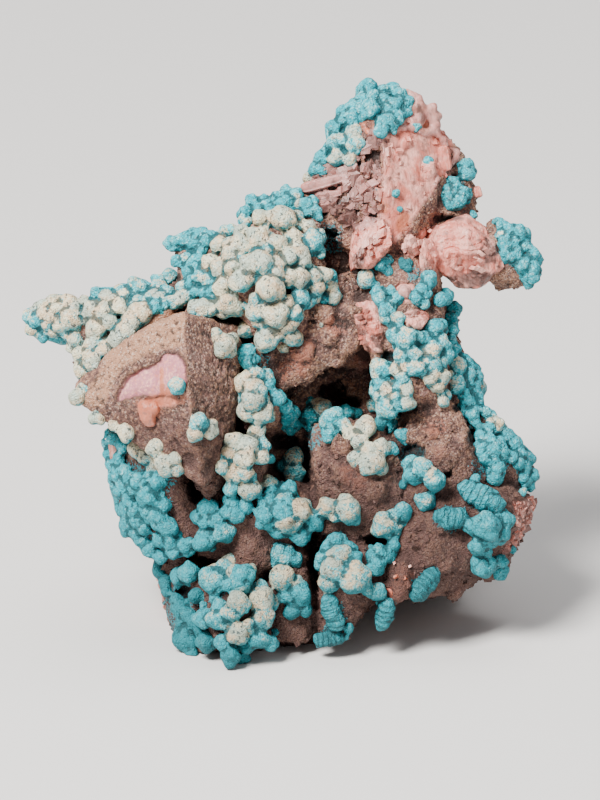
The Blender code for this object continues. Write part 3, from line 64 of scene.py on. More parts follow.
# Crystals and blocks of the matrix, each the convex hull of its corners (u, v, w).
BLOCKS = {
    "left crystal": (
        (-12.5, 38.3, -8.5), (-12.1, 31, -11.5), (-10.4, 19.4, -8), (-24.5, 28.9, -3), (-24.2, 30.5, -2),
        (-20.4, 34.3, -4), (-16.2, 36.9, -6), (-6.8, 36.8, -4), (-6.2, 30, -4.5), (-7.4, 23, -4.5),
        (-20.3, 27, -3.5), (-17.6, 25, -6), (-13.5, 22, -7.5), (-23, 31.5, 5), (-13, 38.5, 6),
        (-7, 36, 7), (-8, 22, 7), (-19, 26.5, 5),
    ),
    "left arm tip": (
        (-29.2, 37.4, 0), (-28.3, 36.2, 0.5), (-25.2, 35.8, 0), (-23, 36.2, -1.5), (-28, 38.9, 0.5),
        (-23.6, 38.9, -1.5), (-28.3, 37.4, 4), (-24, 36, 6), (-24, 38.6, 6.5), (-20, 38, 7),
    ),
    "left arm": (
        (-24.6, 35.2, -0.5), (-22, 34, -2), (-24, 31, -1), (-23.6, 38.9, -1.5), (-18, 40.6, -1),
        (-13.8, 41.6, -0.5), (-12.8, 40.8, 0.5), (-14, 38.3, -4), (-18.2, 36, -4), (-23.6, 32, 6),
        (-23.6, 38.6, 6.5), (-13, 41, 8), (-14, 34, 8),
    ),
    "crest": (
        (-14, 46, -0.5), (-13.6, 43.6, -1.5), (-12.6, 41, -3), (-9.6, 40.2, -5), (-6.2, 40.6, -5.5),
        (-6.6, 46.7, -3.5), (-10.4, 46.7, -1), (-12.6, 46.6, 0), (-13.4, 45.8, 6), (-12.4, 41, 8),
        (-6.6, 46.6, 8.5), (-6, 40, 9), (-13.2, 40, 2),
    ),
    "dome": (
        (-7.8, 46.2, -4), (-4.5, 48.2, -4), (-0.6, 48, -4), (1.7, 46, -4), (2.8, 42.4, -4),
        (1.9, 39.6, -4), (-0.5, 35.5, -4.6), (-3.5, 34.9, -5), (-6, 37.2, -4.6), (-8.8, 40.4, -4),
        (-9.2, 43.4, -3.8), (-5.4, 44.8, -7), (-3.4, 41.4, -8), (-6.9, 41.2, -7), (-1, 41.2, -7),
        (-2.5, 37.6, -7), (-6, 47, 6), (2, 47, 6), (3, 38, 6), (-6, 36, 6),
    ),
    "upper ridge": (
        (-6, 49, -1), (-5.3, 50.4, 0), (-3.6, 50.3, 0), (-1.5, 51.3, 0), (0.6, 51.6, 0), (2, 50.3, -1),
        (2.2, 47.5, -2), (-6, 47, -2.5), (-5.3, 50, 7), (0.6, 51.4, 7), (3, 47, 8), (-6, 46, 8),
    ),
    "peak crystal": (
        (5.6, 44.5, -0.5), (10, 44.5, -1.5), (13.4, 46.6, 0), (14.4, 50.6, 1), (15, 53, 2),
        (16, 53.5, 3), (15.9, 57, 3), (14.8, 59.2, 3), (13.4, 60.8, 2.2), (11.8, 62.2, 2), (8, 63, 2),
        (6.8, 62.3, 2), (6.3, 60.8, 1), (4.4, 59.9, 1), (3.7, 58, 1), (3, 56, 1), (1.8, 54, 1),
        (1, 52.2, 1), (2.4, 48, -1), (9.5, 52, -2.2), (8.5, 57.5, -1.4), (7.2, 62.2, 6.5),
        (13, 60.8, 7.5), (16.3, 55.5, 8), (14.5, 47, 9), (3.4, 54, 8), (1.8, 48, 9),
    ),
    "peak shoulder": (
        (15.3, 58.4, 5), (16.3, 56.9, 5), (17.9, 55.3, 5), (18.6, 53.5, 4.5), (19, 51, 4.5),
        (19.4, 48.9, 4.5), (19, 47.4, 3.5), (13, 47, 3), (12.8, 50.5, 1.5), (14, 56, 3.5),
        (15, 57.5, 10), (18, 54, 10), (18.8, 48, 10), (12, 46, 10),
    ),
    "arm crystal": (
        (15.3, 46.8, -1), (18.1, 48.7, 0), (19.4, 47.8, 0), (20.7, 46.2, -0.5), (21.7, 45, -0.5),
        (21.6, 43.2, -0.5), (19.9, 41.2, -0.5), (17.5, 41.1, -0.5), (15.2, 43.1, -1), (14.8, 44.8, -1.5),
        (18.2, 44.7, -3.2), (15.5, 47, 5), (18.5, 48.4, 5), (21.5, 45.5, 5), (20, 41.4, 5),
        (15.5, 42.5, 5), (12.4, 45.4, 4), (12.8, 47.4, 4),
    ),
    "arm end": (
        (20.2, 48.3, 1.5), (21.2, 48.7, 2), (22.7, 47.8, 1), (23.9, 47, 1), (25.2, 44.9, 1),
        (25.2, 42.9, 1), (24.6, 41.5, 1.5), (23, 41.3, 2), (21, 40.8, 2.5), (20.2, 42.2, 0),
        (20.4, 46.2, 0), (21, 48, 6), (24, 46.5, 6), (25, 43, 6), (22, 41.2, 7),
    ),
    "pink crystal A": (
        (5.9, 47.5, -3), (7.1, 48.6, -2), (9.2, 48.6, -2), (9.9, 47.6, -3), (9.9, 45.7, -4.2),
        (8.3, 44.2, -4.6), (7.1, 43.2, -4.4), (5.6, 42.8, -3.4), (5.4, 44.8, -4), (6, 48, 4),
        (9.8, 48, 4), (9.5, 44, 4), (5.5, 43, 4),
    ),
    "crest foot": (
        (-12.4, 39.6, -3.4), (-9.2, 39.6, -4.6), (-8.8, 37.9, -5.2), (-12.2, 38.1, -4.6),
        (-10.6, 38.6, -5.4), (-12.4, 39.8, 5), (-9, 39.8, 5), (-9, 37.4, 5), (-12.2, 37.6, 5),
    ),
    "inner step": (
        (-6.8, 34.8, -3.4), (-4.4, 34.6, -3.6), (-3.6, 32.4, -3.4), (-4.8, 31.4, -3.4),
        (-6.6, 32.4, -3.2), (-5.4, 33.4, -4.2), (-7, 35, 5), (-3.6, 34, 5), (-4.4, 31.4, 5),
        (-6.8, 32, 5),
    ),
    "pink crystal D": (
        (11.2, 46.4, -2.6), (12.2, 47, -2.2), (13.1, 46.3, -2.6), (13, 45, -3), (12.2, 44.5, -2.8),
        (11.4, 45.1, -3), (12.2, 45.8, -3.6), (11.4, 46.6, 2), (13, 46.4, 2), (12.8, 44.6, 2),
        (11.4, 45, 2),
    ),
    "pink crystal E": (
        (13.3, 46.3, -2.2), (14.2, 46.2, -2), (14.9, 44.6, -2.2), (14.6, 42.8, -2.4), (13.6, 42.5, -2.4),
        (13.1, 43.6, -2.8), (13, 45.2, -2.8), (13.9, 44.4, -3.4), (13.3, 46.2, 2), (14.6, 45.6, 2),
        (14.6, 42.8, 2), (13.2, 43, 2),
    ),
    "right column": (
        (6.6, 42.3, -2), (9, 43.8, -2), (12.5, 44.9, -1.5), (14.8, 43.4, -1), (15.2, 40, -0.5),
        (15.2, 37.5, -2), (15.6, 34.5, -3), (15.8, 31, -3), (15.3, 28.7, -3), (9.2, 28, -3),
        (8.2, 30, -3), (8.8, 34, -3), (7.4, 39, -2), (12, 35, -5), (12.6, 31.5, -5), (12, 29.2, -5),
        (12, 40, -3.6), (7, 43, 6), (14.5, 43.5, 6), (16.6, 36, 8), (16.6, 29, 8), (8.5, 29, 8),
    ),
    "pink crystal B": (
        (10.9, 38, -4.4), (12, 38.9, -3.6), (14.1, 38.1, -3.8), (12.9, 36.4, -5.4), (11, 36.7, -5.2),
        (12.1, 37.6, -5.9), (11, 38, 2), (14, 38, 2), (13, 36.5, 2), (11, 36.8, 2),
    ),
    "pink crystal C": (
        (5.8, 38.9, -3.4), (7.9, 39.5, -2.8), (8.9, 37.2, -3.6), (9, 35.8, -3.8), (8.8, 34.2, -3.4),
        (7.2, 34, -3), (6.6, 35.5, -3.6), (6.1, 37.8, -4.2), (7.9, 37, -5), (6, 39, 2), (8, 39, 2),
        (8.8, 34.2, 2), (7.2, 34, 2),
    ),
    "centre rock": (
        (-2.6, 36, -2), (0, 39, -2), (3.5, 42, -2), (5.5, 42.8, -1.4), (7.2, 40, -2), (6.8, 36.5, -3),
        (6, 34.2, -3.4), (2.4, 33.2, -3.8), (-1.2, 31.2, -3.4), (-3, 29, -2.4), (-3.2, 33, -2.6),
        (2, 37, -4.2), (0, 32.6, 0), (-2.6, 30, 4), (-2.6, 37, 5), (4, 42, 6), (8, 41, 6), (7, 34.5, 4),
    ),
    "pillar": (
        (-6.4, 31.4, -4), (-5, 32.5, -3.6), (-3.2, 31.2, -3.6), (-2.2, 28.4, -3.4), (-2.8, 26.2, -3.6),
        (-4.6, 24.9, -4), (-6.3, 27, -4.2), (-4.8, 29, -6), (-6.5, 31, 5), (-2, 31, 5), (-1.4, 26, 5),
        (-6.3, 25, 5),
    ),
    "cluster mound": (
        (-8.3, 22.4, -4.6), (-7.2, 24, -4.8), (-4.2, 24.2, -4.6), (-3.5, 22.4, -4.4), (-4.7, 19.2, -4.6),
        (-7.5, 19, -4.6), (-6, 22, -6.6), (-8, 24, 4), (-3.4, 24, 4), (-3.6, 19, 4), (-8.4, 19, 4),
    ),
    "middle left": (
        (-11.6, 17, -2), (-9.8, 18.4, -2.6), (-7, 18.6, -3.4), (-3, 20, -2), (0.8, 18.4, -2.4),
        (1.8, 15.4, -2.8), (0.4, 13.2, -2.4), (-2.6, 13.4, -2), (-8, 13.6, -3), (-11, 13.2, -2.4),
        (-1.2, 16.4, -4), (-7.6, 16.4, -4.4), (-12, 18, 6), (1.5, 20, 6), (1.5, 12.5, 6), (-11, 12.5, 6),
    ),
    "left edge": (
        (-20.3, 25.2, 2), (-20.2, 22, 1), (-19.8, 20, 0.5), (-18.9, 17.5, 0), (-18.8, 15, 0.6),
        (-17, 12.6, 0.4), (-14.2, 11.4, -0.6), (-11.8, 12.2, -1.6), (-11.4, 16, -1.4),
        (-13.6, 20.6, -2.2), (-13.4, 22.4, -3), (-17.4, 23.6, -1.6), (-19.2, 24.6, 0),
        (-16.6, 17.6, -2.4), (-20, 25, 6), (-19.4, 19, 7), (-17.6, 13, 8), (-12, 12, 9), (-12, 24, 9),
    ),
    "crystal lobe": (
        (-11.6, 20.6, -5.4), (-11.2, 22.6, -6.6), (-10.2, 18.1, -4.6), (-9, 18.9, -4.4),
        (-7.6, 21.5, -4), (-7.9, 23.6, -4.4), (-10, 20.8, -6.4), (-11.4, 22, 3), (-10.4, 18.6, 3),
        (-8.2, 19.4, 3), (-8, 23, 3),
    ),
    "left saddle": (
        (-11, 12.1, -1.4), (-8.2, 11.4, -1.6), (-7.4, 13.9, -2.2), (-10.8, 13.9, -1.6),
        (-9.4, 12.8, -2.6), (-11.2, 12, 4), (-7.6, 11.4, 4), (-7.4, 14, 4), (-11, 14, 4),
    ),
    "right saddle": (
        (16, 20.6, -3.2), (16.7, 19.4, -2.8), (18, 18.4, -2.8), (19.4, 19, -2.4), (20.2, 20.4, -1.6),
        (19.8, 22.2, -1.6), (18.4, 22.8, -2.8), (17.2, 21.8, -3.6), (18.2, 20.6, -4), (14.3, 18.2, -2.6),
        (14.6, 19.8, -3), (14.4, 18, 5), (19.8, 19.2, 5), (19.8, 22.4, 5), (16.6, 22.4, 5),
    ),
    "left foot": (
        (-15.6, 11, 4), (-14.6, 7.8, 4), (-13.6, 4.6, 2.4), (-13, 2, 1.2), (-11.6, 0.6, 0),
        (-10, 1.4, -1.6), (-10.4, 7, -2.2), (-11.6, 11, -1.2), (-14, 12, 1), (-16.4, 12.6, 9),
        (-15.4, 7.5, 12), (-12, 3, 8), (-10, 12, 9),
    ),
    "front foot": (
        (-10.6, 9.4, -3.4), (-8.2, 10.8, -3.8), (-5.4, 10.4, -3.8), (-3.6, 8.2, -3.4), (-3.2, 5.2, -3.4),
        (-3.4, 2.8, -3.6), (-5.2, 1.9, -4), (-7.4, 1.2, -4.4), (-9.2, 2.6, -3.8), (-10.4, 5.2, -3.6),
        (-6.4, 5.8, -6.4), (-7.4, 8.6, -5.6), (-10, 9, 6), (-3, 9, 6), (-3, 2.2, 2.2), (-9.6, 1.6, 1),
    ),
    "brown step": (
        (-7.2, 15.6, -2.6), (-3.4, 15.8, -2.2), (-3, 10.4, -2.4), (-6.8, 9.8, -3), (-5.2, 12.8, -4),
        (-7.4, 15, 5), (-2.6, 15, 5), (-2.6, 9.6, 5), (-7.4, 9.6, 5),
    ),
    "bottom middle": (
        (-3.2, 12.4, -1.6), (0.4, 12.6, -1.4), (1, 8.2, -2.4), (1.6, 5.4, -2), (0.4, 2.6, -1.6),
        (-2.6, 2.4, -2), (-3.2, 7, -2), (-1.4, 9, -3.4), (-3.2, 12.4, 6), (1.6, 12.4, 6), (2.4, 3, 4),
        (-3, 3, 4),
    ),
    "right mound": (
        (2.3, 11.2, -3.8), (3.8, 13.4, -3), (5.8, 12.6, -3.4), (8.4, 13, -2.8), (10, 12.6, -2.4),
        (9.4, 10, -2.6), (8, 7.8, -3.6), (5.6, 8.2, -4.8), (3.2, 6.6, -3.8), (5.5, 4.2, -2.4),
        (4.6, 2.4, -1.8), (2, 2.3, -2), (2.8, 8.8, -4), (4.4, 10.6, -5.6), (3, 13, 5), (10, 13, 5),
        (9, 7.6, 8), (3.6, 4.6, 5),
    ),
    "low face": (
        (1.4, 26, -1.6), (1.2, 22.4, -2.2), (2, 18.4, -3), (2.4, 14.2, -2.8), (6, 13.6, -3.2),
        (10.8, 15, -3), (11.4, 19, -2.8), (10.4, 23.4, -2.8), (8.6, 26.2, -3), (4.6, 26.6, -2.4),
        (6.4, 20, -4.8), (7.8, 23.4, -4.6), (1.4, 26, 5), (9.6, 26.4, 5), (11.6, 15, 5), (2.2, 14, 5),
    ),
    "right face": (
        (12, 27.2, -2.6), (14.4, 28.4, -2.8), (16.6, 28.7, -1.8), (17.1, 27, -2.2), (18.4, 25.6, -2.2),
        (18.6, 23.6, -3), (18.9, 21.6, -3), (13.4, 18.6, -4.2), (11.2, 17.6, -3), (10.4, 23.6, -2.4),
        (12, 24.4, -3.4), (15.2, 23.4, -5.2), (11, 27.6, 6), (16.8, 28.6, 6), (19, 22, 7), (11, 17, 6),
    ),
    "low right": (
        (9.7, 7.4, -2.4), (12.8, 7, -2.6), (15.8, 8.7, -1.6), (19, 8.5, 0.2), (19.4, 12, -2.6),
        (19.2, 18.4, -3.2), (11, 18, -3), (9.6, 12.4, -2.8), (14.6, 13.8, -4.6), (12, 17, -3.4),
        (9.6, 8, 13), (18, 8.8, 17), (19.6, 14, 13), (10, 18, 11),
    ),
    "edge crystal": (
        (9.4, 11.2, -3.2), (11.2, 11.6, -4.4), (12.4, 10.4, -3.6), (12.3, 7.6, -3.2), (10.6, 6.9, -4),
        (9.3, 8.6, -3.4), (11, 9.2, -5), (9.6, 11, 1), (12.2, 11, 1), (12, 7.2, 1), (9.8, 7.6, 1),
    ),
    "hanging lobe": (
        (8.8, 6.9, -3), (10.4, 7.6, -3.4), (9.8, 8.6, -2), (8.7, 4.9, -2.6), (9.6, 4.9, -2.4),
        (9, 7.2, -0.6), (10.2, 7.4, -0.8), (9.3, 5.2, -1),
    ),
    "right bulge": (
        (18, 18.4, -3.2), (21.2, 18.4, -3.4), (23.4, 17.6, -1.6), (20.6, 19.5, -2), (22.5, 19.5, -1.4),
        (25.4, 18.2, 1.6), (25.7, 17.4, 2.4), (25.2, 16, 2), (24.4, 14.4, 1.4), (22.8, 12, 0.6),
        (22.6, 10.2, 1), (21, 9.2, 0.4), (19, 9.6, -1), (18.4, 13, -3.6), (20.4, 15, -5.4),
        (22.4, 15, -3.8), (24.8, 17, 8), (22, 10.4, 10), (18, 9.6, 12), (18.6, 18, 9),
    ),
    "edge band upper": (
        (16.3, 36.4, 1), (16.8, 34, 0.6), (17.4, 32.6, 0.4), (19.2, 31.2, 1.6), (19.4, 28.5, 1.8),
        (18.4, 26.6, 1), (16.8, 26.6, 0), (16, 29.6, -0.6), (15.6, 33.4, -0.6), (15.6, 36, 0),
        (16.4, 36.2, 8), (18.8, 30.6, 9), (18.4, 26, 10), (14, 30, 10),
    ),
    "edge band lower": (
        (18.4, 28, 0.6), (20.8, 26.8, 1.6), (22.2, 25.2, 1.8), (23.7, 23.4, 2), (24.7, 21.6, 2.4),
        (25.4, 20.6, 2.6), (25.3, 19.2, 2.6), (23.2, 18.8, 0.6), (21, 20, -1.2), (19.4, 22.4, -1.6),
        (19.4, 24.8, -0.8), (22, 22, -1.2), (19, 27.4, 9), (23.4, 22.6, 9), (24.8, 19.4, 8),
        (19, 19, 10),
    ),
    "back column": (
        (15, 40.6, 5), (16.4, 40, 5), (17, 38, 5), (16.8, 35.6, 5), (14.5, 35.5, 4), (14.2, 40.4, 4),
        (15, 40.4, 10), (16.8, 37, 11), (14, 34, 12),
    ),
    "upper core": (
        (-15, 38, 2), (-14.6, 40.6, 2), (-12.6, 44, 2), (-5, 47, 2), (2, 49, 2), (8, 50, 3), (13, 48, 4),
        (15.4, 42, 4), (15.4, 36, 4), (-10, 33, 2), (15, 32, 5), (-10, 36, 12), (-9, 43, 10),
        (-2, 46, 11), (6, 48, 11), (12, 46, 12), (14.5, 38, 13), (12, 32, 14), (-8, 32, 14),
    ),
    "lower core": (
        (-17.6, 27, 4), (-16.6, 20, 4), (-14, 13, 3), (-8, 12, 2), (2, 10, 2), (10, 10, 2), (18, 12, 4),
        (19.6, 18, 4), (17, 27, 4), (14, 31, 5), (-10, 34, 4), (-19, 30, 4), (-16, 27, 13),
        (-14, 18, 16), (-10, 11, 17), (0, 9.5, 18), (12, 10.5, 20), (18, 15, 17), (16, 25, 15),
        (12, 33, 13), (-8, 33, 13),
    ),
    "back hump": (
        (-11, 26, 12), (-12, 16, 15), (-9, 9.5, 20), (0, 9, 23), (11, 9.5, 24), (16, 14, 20),
        (14, 24, 16), (8, 32, 13), (-5, 33, 13), (-6, 20, 20), (4, 17, 23.5), (9, 22, 21),
    ),
    "base front": (
        (-12.6, 1, 1.6), (-7, 0.6, 0.6), (4.4, 1.4, 2.6), (5.8, 3, 10), (-15, 4, 12), (-14.4, 3, 7.4),
        (5, 3, 15), (-13, 3, 15), (-12.6, 14, 4), (4, 14, 4), (5, 14, 15), (-13, 14, 15),
    ),
    "base rear": (
        (-15.2, 4, 12), (5.8, 4, 12.2), (17.8, 6.6, 18.8), (19, 7, 21.6), (14, 7, 25), (-2, 7, 25.2),
        (-12, 6, 21.4), (-15, 13, 12), (18, 14, 16), (12, 14, 22.5), (-8, 14, 20), (5, 15, 13),
    ),
}

# Pits, cut into the matrix: the convex hulls of their corners (u, v, w).
PITS = {
    "centre hollow": (
        (2, 30.2, -9), (3.4, 31, -9), (5.3, 29.2, -9), (6.3, 28, -9), (4.4, 27.8, -9), (3.1, 28.6, -9),
        (2.2, 30.2, 9), (3.6, 30.8, 9), (5.9, 28.2, 9), (4.2, 28, 9),
    ),
    "upper hollow": (
        (1.6, 48.4, -9), (4.6, 48.6, -9), (4.8, 45.6, -9), (2.8, 45.2, -9), (2.6, 47.4, 3), (4, 46.6, 3),
    ),
    "lower slot": (
        (0.9, 14.6, -9), (1.9, 14.4, -9), (2, 8.6, -9), (1.1, 8.4, -9), (1.5, 12, 3),
    ),
}


# The lumps of the display face by coat, each (u, v, radius).
TURQUOISE_LUMPS = (
    # peak
    (7.4, 62.9, 1), (9.15, 62.5, 0.6), (10.2, 62.8, 0.7), (10.9, 62.1, 0.8), (11.8, 61.2, 0.7),
    (7.9, 61.65, 0.9), (6.85, 61.5, 0.8), (7.65, 60.4, 1.2), (10.1, 60.7, 0.9), (11.5, 60.15, 0.7),
    (9.7, 60.4, 0.8), (10.5, 59.5, 0.9), (9.4, 58.9, 1), (8.8, 58, 0.8), (9.85, 58.4, 0.7),
    (6, 60.85, 0.7), (4.65, 60.3, 0.75), (5.6, 59.5, 0.85), (4.8, 59.2, 0.7), (3.7, 58.4, 0.9),
    (3.45, 57.5, 0.7), (2.9, 56.1, 0.6), (2.2, 55.1, 0.8), (1.8, 53.9, 0.85), (2.4, 53.6, 0.6),
    (10.4, 51.2, 0.5), (13.95, 54.75, 0.65), (10.8, 49.5, 0.4), (8.4, 51.6, 0.35), (18.3, 54.4, 0.85),
    (18.35, 53.5, 0.85), (16.75, 52.5, 0.8), (16, 52.05, 0.7), (17.6, 51.3, 0.9), (16.1, 51.1, 0.7),
    (17.2, 50.45, 0.9), (16.5, 50, 0.7), (18.25, 51.2, 0.6), (15.6, 51.3, 0.5), (18.9, 49.05, 0.5),
    (16.8, 51.6, 0.7), (8.9, 61.4, 0.8), (10.9, 61.1, 0.7),
    # end of the right arm
    (23.8, 47.1, 0.85), (22.7, 47.3, 0.7), (21.5, 48.3, 0.5), (21.9, 47.9, 0.6), (22.3, 46, 0.8),
    (22.5, 44.8, 0.8), (23.3, 44.6, 0.8), (22.15, 44.2, 0.6), (24.2, 43.5, 0.9), (23.8, 44, 0.7),
    (25.4, 44.7, 0.75), (25.4, 43.2, 0.85), (25.3, 42.3, 0.8), (24.8, 41.4, 0.6), (23.2, 46, 0.7),
    (24.6, 45.4, 0.6), (24.5, 42.3, 0.6),
    # crest
    (-13.9, 45.75, 0.85), (-12.65, 46.2, 0.8), (-11.7, 46.7, 0.8), (-10.7, 46.8, 0.8),
    (-11.6, 45.9, 0.7), (-9.65, 46.7, 0.6), (-10.1, 46, 0.7), (-13.4, 43.8, 0.7), (-11.15, 43.8, 0.95),
    (-10.6, 45.1, 0.6), (-12.2, 42.7, 0.7), (-11.8, 42, 0.6), (-9.3, 41.7, 0.6), (-9.5, 40.5, 0.7),
    (-10.4, 40.4, 0.6), (-15.7, 38.8, 0.85), (-11.7, 41.35, 0.7), (-11.5, 40.5, 0.6),
    (-18.1, 39.95, 0.6),
    # upper ridge
    (-5.2, 50.4, 0.8), (-5.9, 49.2, 0.7), (-3.9, 50.8, 0.5), (-3.6, 49.85, 0.6), (-3.3, 49.4, 0.5),
    (-2.65, 50.7, 0.6), (-2.3, 50.8, 0.7), (-1.5, 51.5, 0.7), (-2.8, 50.4, 0.6), (-1.7, 50.2, 0.8),
    (-0.9, 50.5, 0.6), (0.6, 50.05, 0.75), (1.5, 50.4, 0.6), (1.75, 49.3, 0.65), (2, 48.55, 0.5),
    (1, 49.3, 0.6), (-4.5, 49.6, 0.6), (-0.2, 51.3, 0.6),
    # beside the dome and the left crystal
    (3.4, 42.3, 0.75), (2.4, 39.7, 0.7), (-27.9, 35.5, 0.6), (-22.1, 40.4, 0.7), (-21, 40.5, 0.6),
    (-5.85, 33.9, 1), (-5.8, 33.2, 1), (-3.3, 30.5, 0.7), (-2.4, 29, 0.9), (-1.7, 28.15, 0.9),
    (-1.3, 27.2, 1.15), (-1, 26.1, 1.1),
    # centre left
    (-7.4, 17.7, 1), (-6, 17.2, 0.9), (-6.8, 16.4, 0.9), (-7.7, 16.7, 0.8), (-9.85, 17, 1.2),
    (-11, 16.15, 0.9), (-8.9, 15.8, 0.9), (-10.1, 15.6, 0.9), (-10.3, 13.6, 1.2), (-3.2, 18.85, 0.8),
    (-3.7, 17.8, 1), (-3.9, 16.4, 1), (-3.5, 15.6, 0.9), (-2.4, 14.6, 0.9), (-1.2, 19.1, 1),
    (-1.9, 16.7, 1.2), (0.05, 14, 1),
    # left edge
    (-20.7, 25.2, 0.6), (-21.1, 23.9, 0.5), (-19.2, 23.9, 0.9), (-19.8, 20.7, 1), (-20.2, 24.5, 0.8),
    (-20.7, 22.9, 0.75), (-20.5, 21.8, 0.75), (-19.7, 22.3, 0.8), (-19.1, 21.1, 0.8),
    (-18.4, 20.25, 0.8), (-17.4, 20, 1), (-15.5, 20, 1), (-14.8, 20.5, 0.6), (-16.4, 20.5, 0.7),
    (-19.2, 19.05, 1), (-20.1, 19.6, 0.7), (-16.65, 18.3, 1.1), (-17.7, 19.05, 0.8), (-18.5, 18, 0.9),
    (-18.9, 16.9, 0.9), (-17.9, 16.6, 0.8), (-16.65, 16.7, 0.8), (-15.5, 16, 1.1), (-14.4, 15.1, 1.1),
    (-18.7, 15.5, 0.9), (-17.6, 15.6, 0.9), (-16.9, 14.9, 0.8), (-18.9, 14.6, 0.8), (-17.8, 14.4, 0.8),
    (-17.2, 13.5, 0.8), (-16.4, 12.6, 0.8), (-15.1, 11.7, 0.8), (-14, 13.35, 0.9), (-13.6, 12.4, 0.9),
    (-12.2, 12.9, 0.95), (-13.25, 9.7, 0.95), (-11.95, 10.1, 1.15), (-15.3, 13.6, 0.8),
    (-14.8, 17.4, 0.8), (-15.7, 17.6, 0.8),
    # lower left front and bottom
    (-8.7, 9.4, 0.7), (-7.75, 8.7, 0.7), (-9.3, 7.4, 0.6), (-10.4, 5.1, 1.15), (-8.3, 2.6, 1),
    (-3.2, 2.5, 0.95), (0, 7.75, 1.2), (-1.5, 7.75, 0.95), (-0.6, 6.9, 0.8),
    # right mound
    (3.9, 13.6, 0.95), (4.5, 13.7, 0.7), (5.4, 12.7, 0.85), (3, 12.8, 0.8), (5.9, 11.7, 0.9),
    (4.7, 10.6, 0.8), (8.2, 10.8, 1.05), (8.5, 12.3, 0.95), (9.5, 12, 0.95), (10.1, 13.1, 0.75),
    (10, 14.05, 0.7), (7.75, 12, 0.7), (5.3, 4.05, 0.6),
    # centre right
    (1.2, 27.2, 1.1), (3.3, 25.1, 1), (5, 27.35, 0.9), (1.05, 25.7, 0.5), (9.8, 25.85, 0.9),
    (11.05, 25.1, 0.8), (11.9, 22, 0.9), (12.25, 20.7, 1.1),
    # right column and back column
    (7.5, 42.5, 0.5), (8.85, 43.5, 0.9), (9.6, 44.3, 0.4), (9.3, 38.6, 0.9), (14, 41.8, 1),
    (13.3, 40.5, 0.9), (15.8, 40, 1), (16.7, 38.6, 1), (16.4, 37.3, 1), (15.3, 39.7, 0.8),
    (16.7, 36.3, 0.7), (13.2, 35.5, 0.8), (14.5, 36.5, 1), (9.4, 31.9, 0.7), (8.7, 30.5, 0.8),
    (12.6, 39.8, 0.7), (10.5, 39.7, 0.7), (8.3, 40.6, 0.7), (9.9, 40.7, 0.6), (15.4, 36.9, 0.7),
    # right edge band
    (16.4, 35.2, 0.7), (16.8, 34.4, 0.7), (16.5, 33.7, 0.6), (18, 33, 0.8), (18.4, 31.9, 0.8),
    (19.3, 31.4, 0.75), (18.3, 30.9, 0.7), (19, 30.3, 0.8), (19.3, 29.3, 0.7), (17.9, 29.6, 0.7),
    (18.3, 28.7, 0.8), (19.3, 28.5, 0.7), (18, 27.4, 0.8), (18.75, 27.1, 0.8), (19.1, 27.7, 0.6),
    (19, 26.5, 0.6), (20.15, 27.5, 0.7), (20.9, 26.95, 0.7), (21.9, 25.3, 0.8), (19.6, 24.8, 0.7),
    (20.5, 24.3, 0.95), (19.5, 23.4, 0.95), (20.7, 23.2, 1.1), (21.4, 23.8, 1), (21.8, 23.1, 0.9),
    (20.15, 22.5, 0.9), (23.1, 23.9, 0.9), (22.5, 24.6, 0.8), (23.7, 23, 0.9), (24.2, 22.4, 0.8),
    (21.4, 21.4, 0.9), (21.15, 20.35, 0.95), (22.8, 22.6, 0.8), (23.7, 21.95, 0.9), (24.4, 21.4, 0.8),
    (25.35, 20.7, 0.75), (24.5, 20, 0.7), (25.1, 19.3, 0.6), (24.2, 20.4, 0.7), (20.4, 25.5, 0.8),
    (21, 22.3, 0.8), (20.8, 21.2, 0.7),
    # right bulge
    (20.3, 15.1, 1.45), (18.9, 15.1, 1.1), (20.6, 13.8, 1), (21.9, 14.6, 0.9), (22.3, 15.8, 1),
    (21.7, 13.7, 0.7), (19.3, 13, 1.05), (20.2, 12.4, 0.7), (19.9, 10.8, 1.35), (19.3, 11.3, 0.9),
    (21.7, 11.4, 0.9), (21.9, 10.2, 0.85),
)
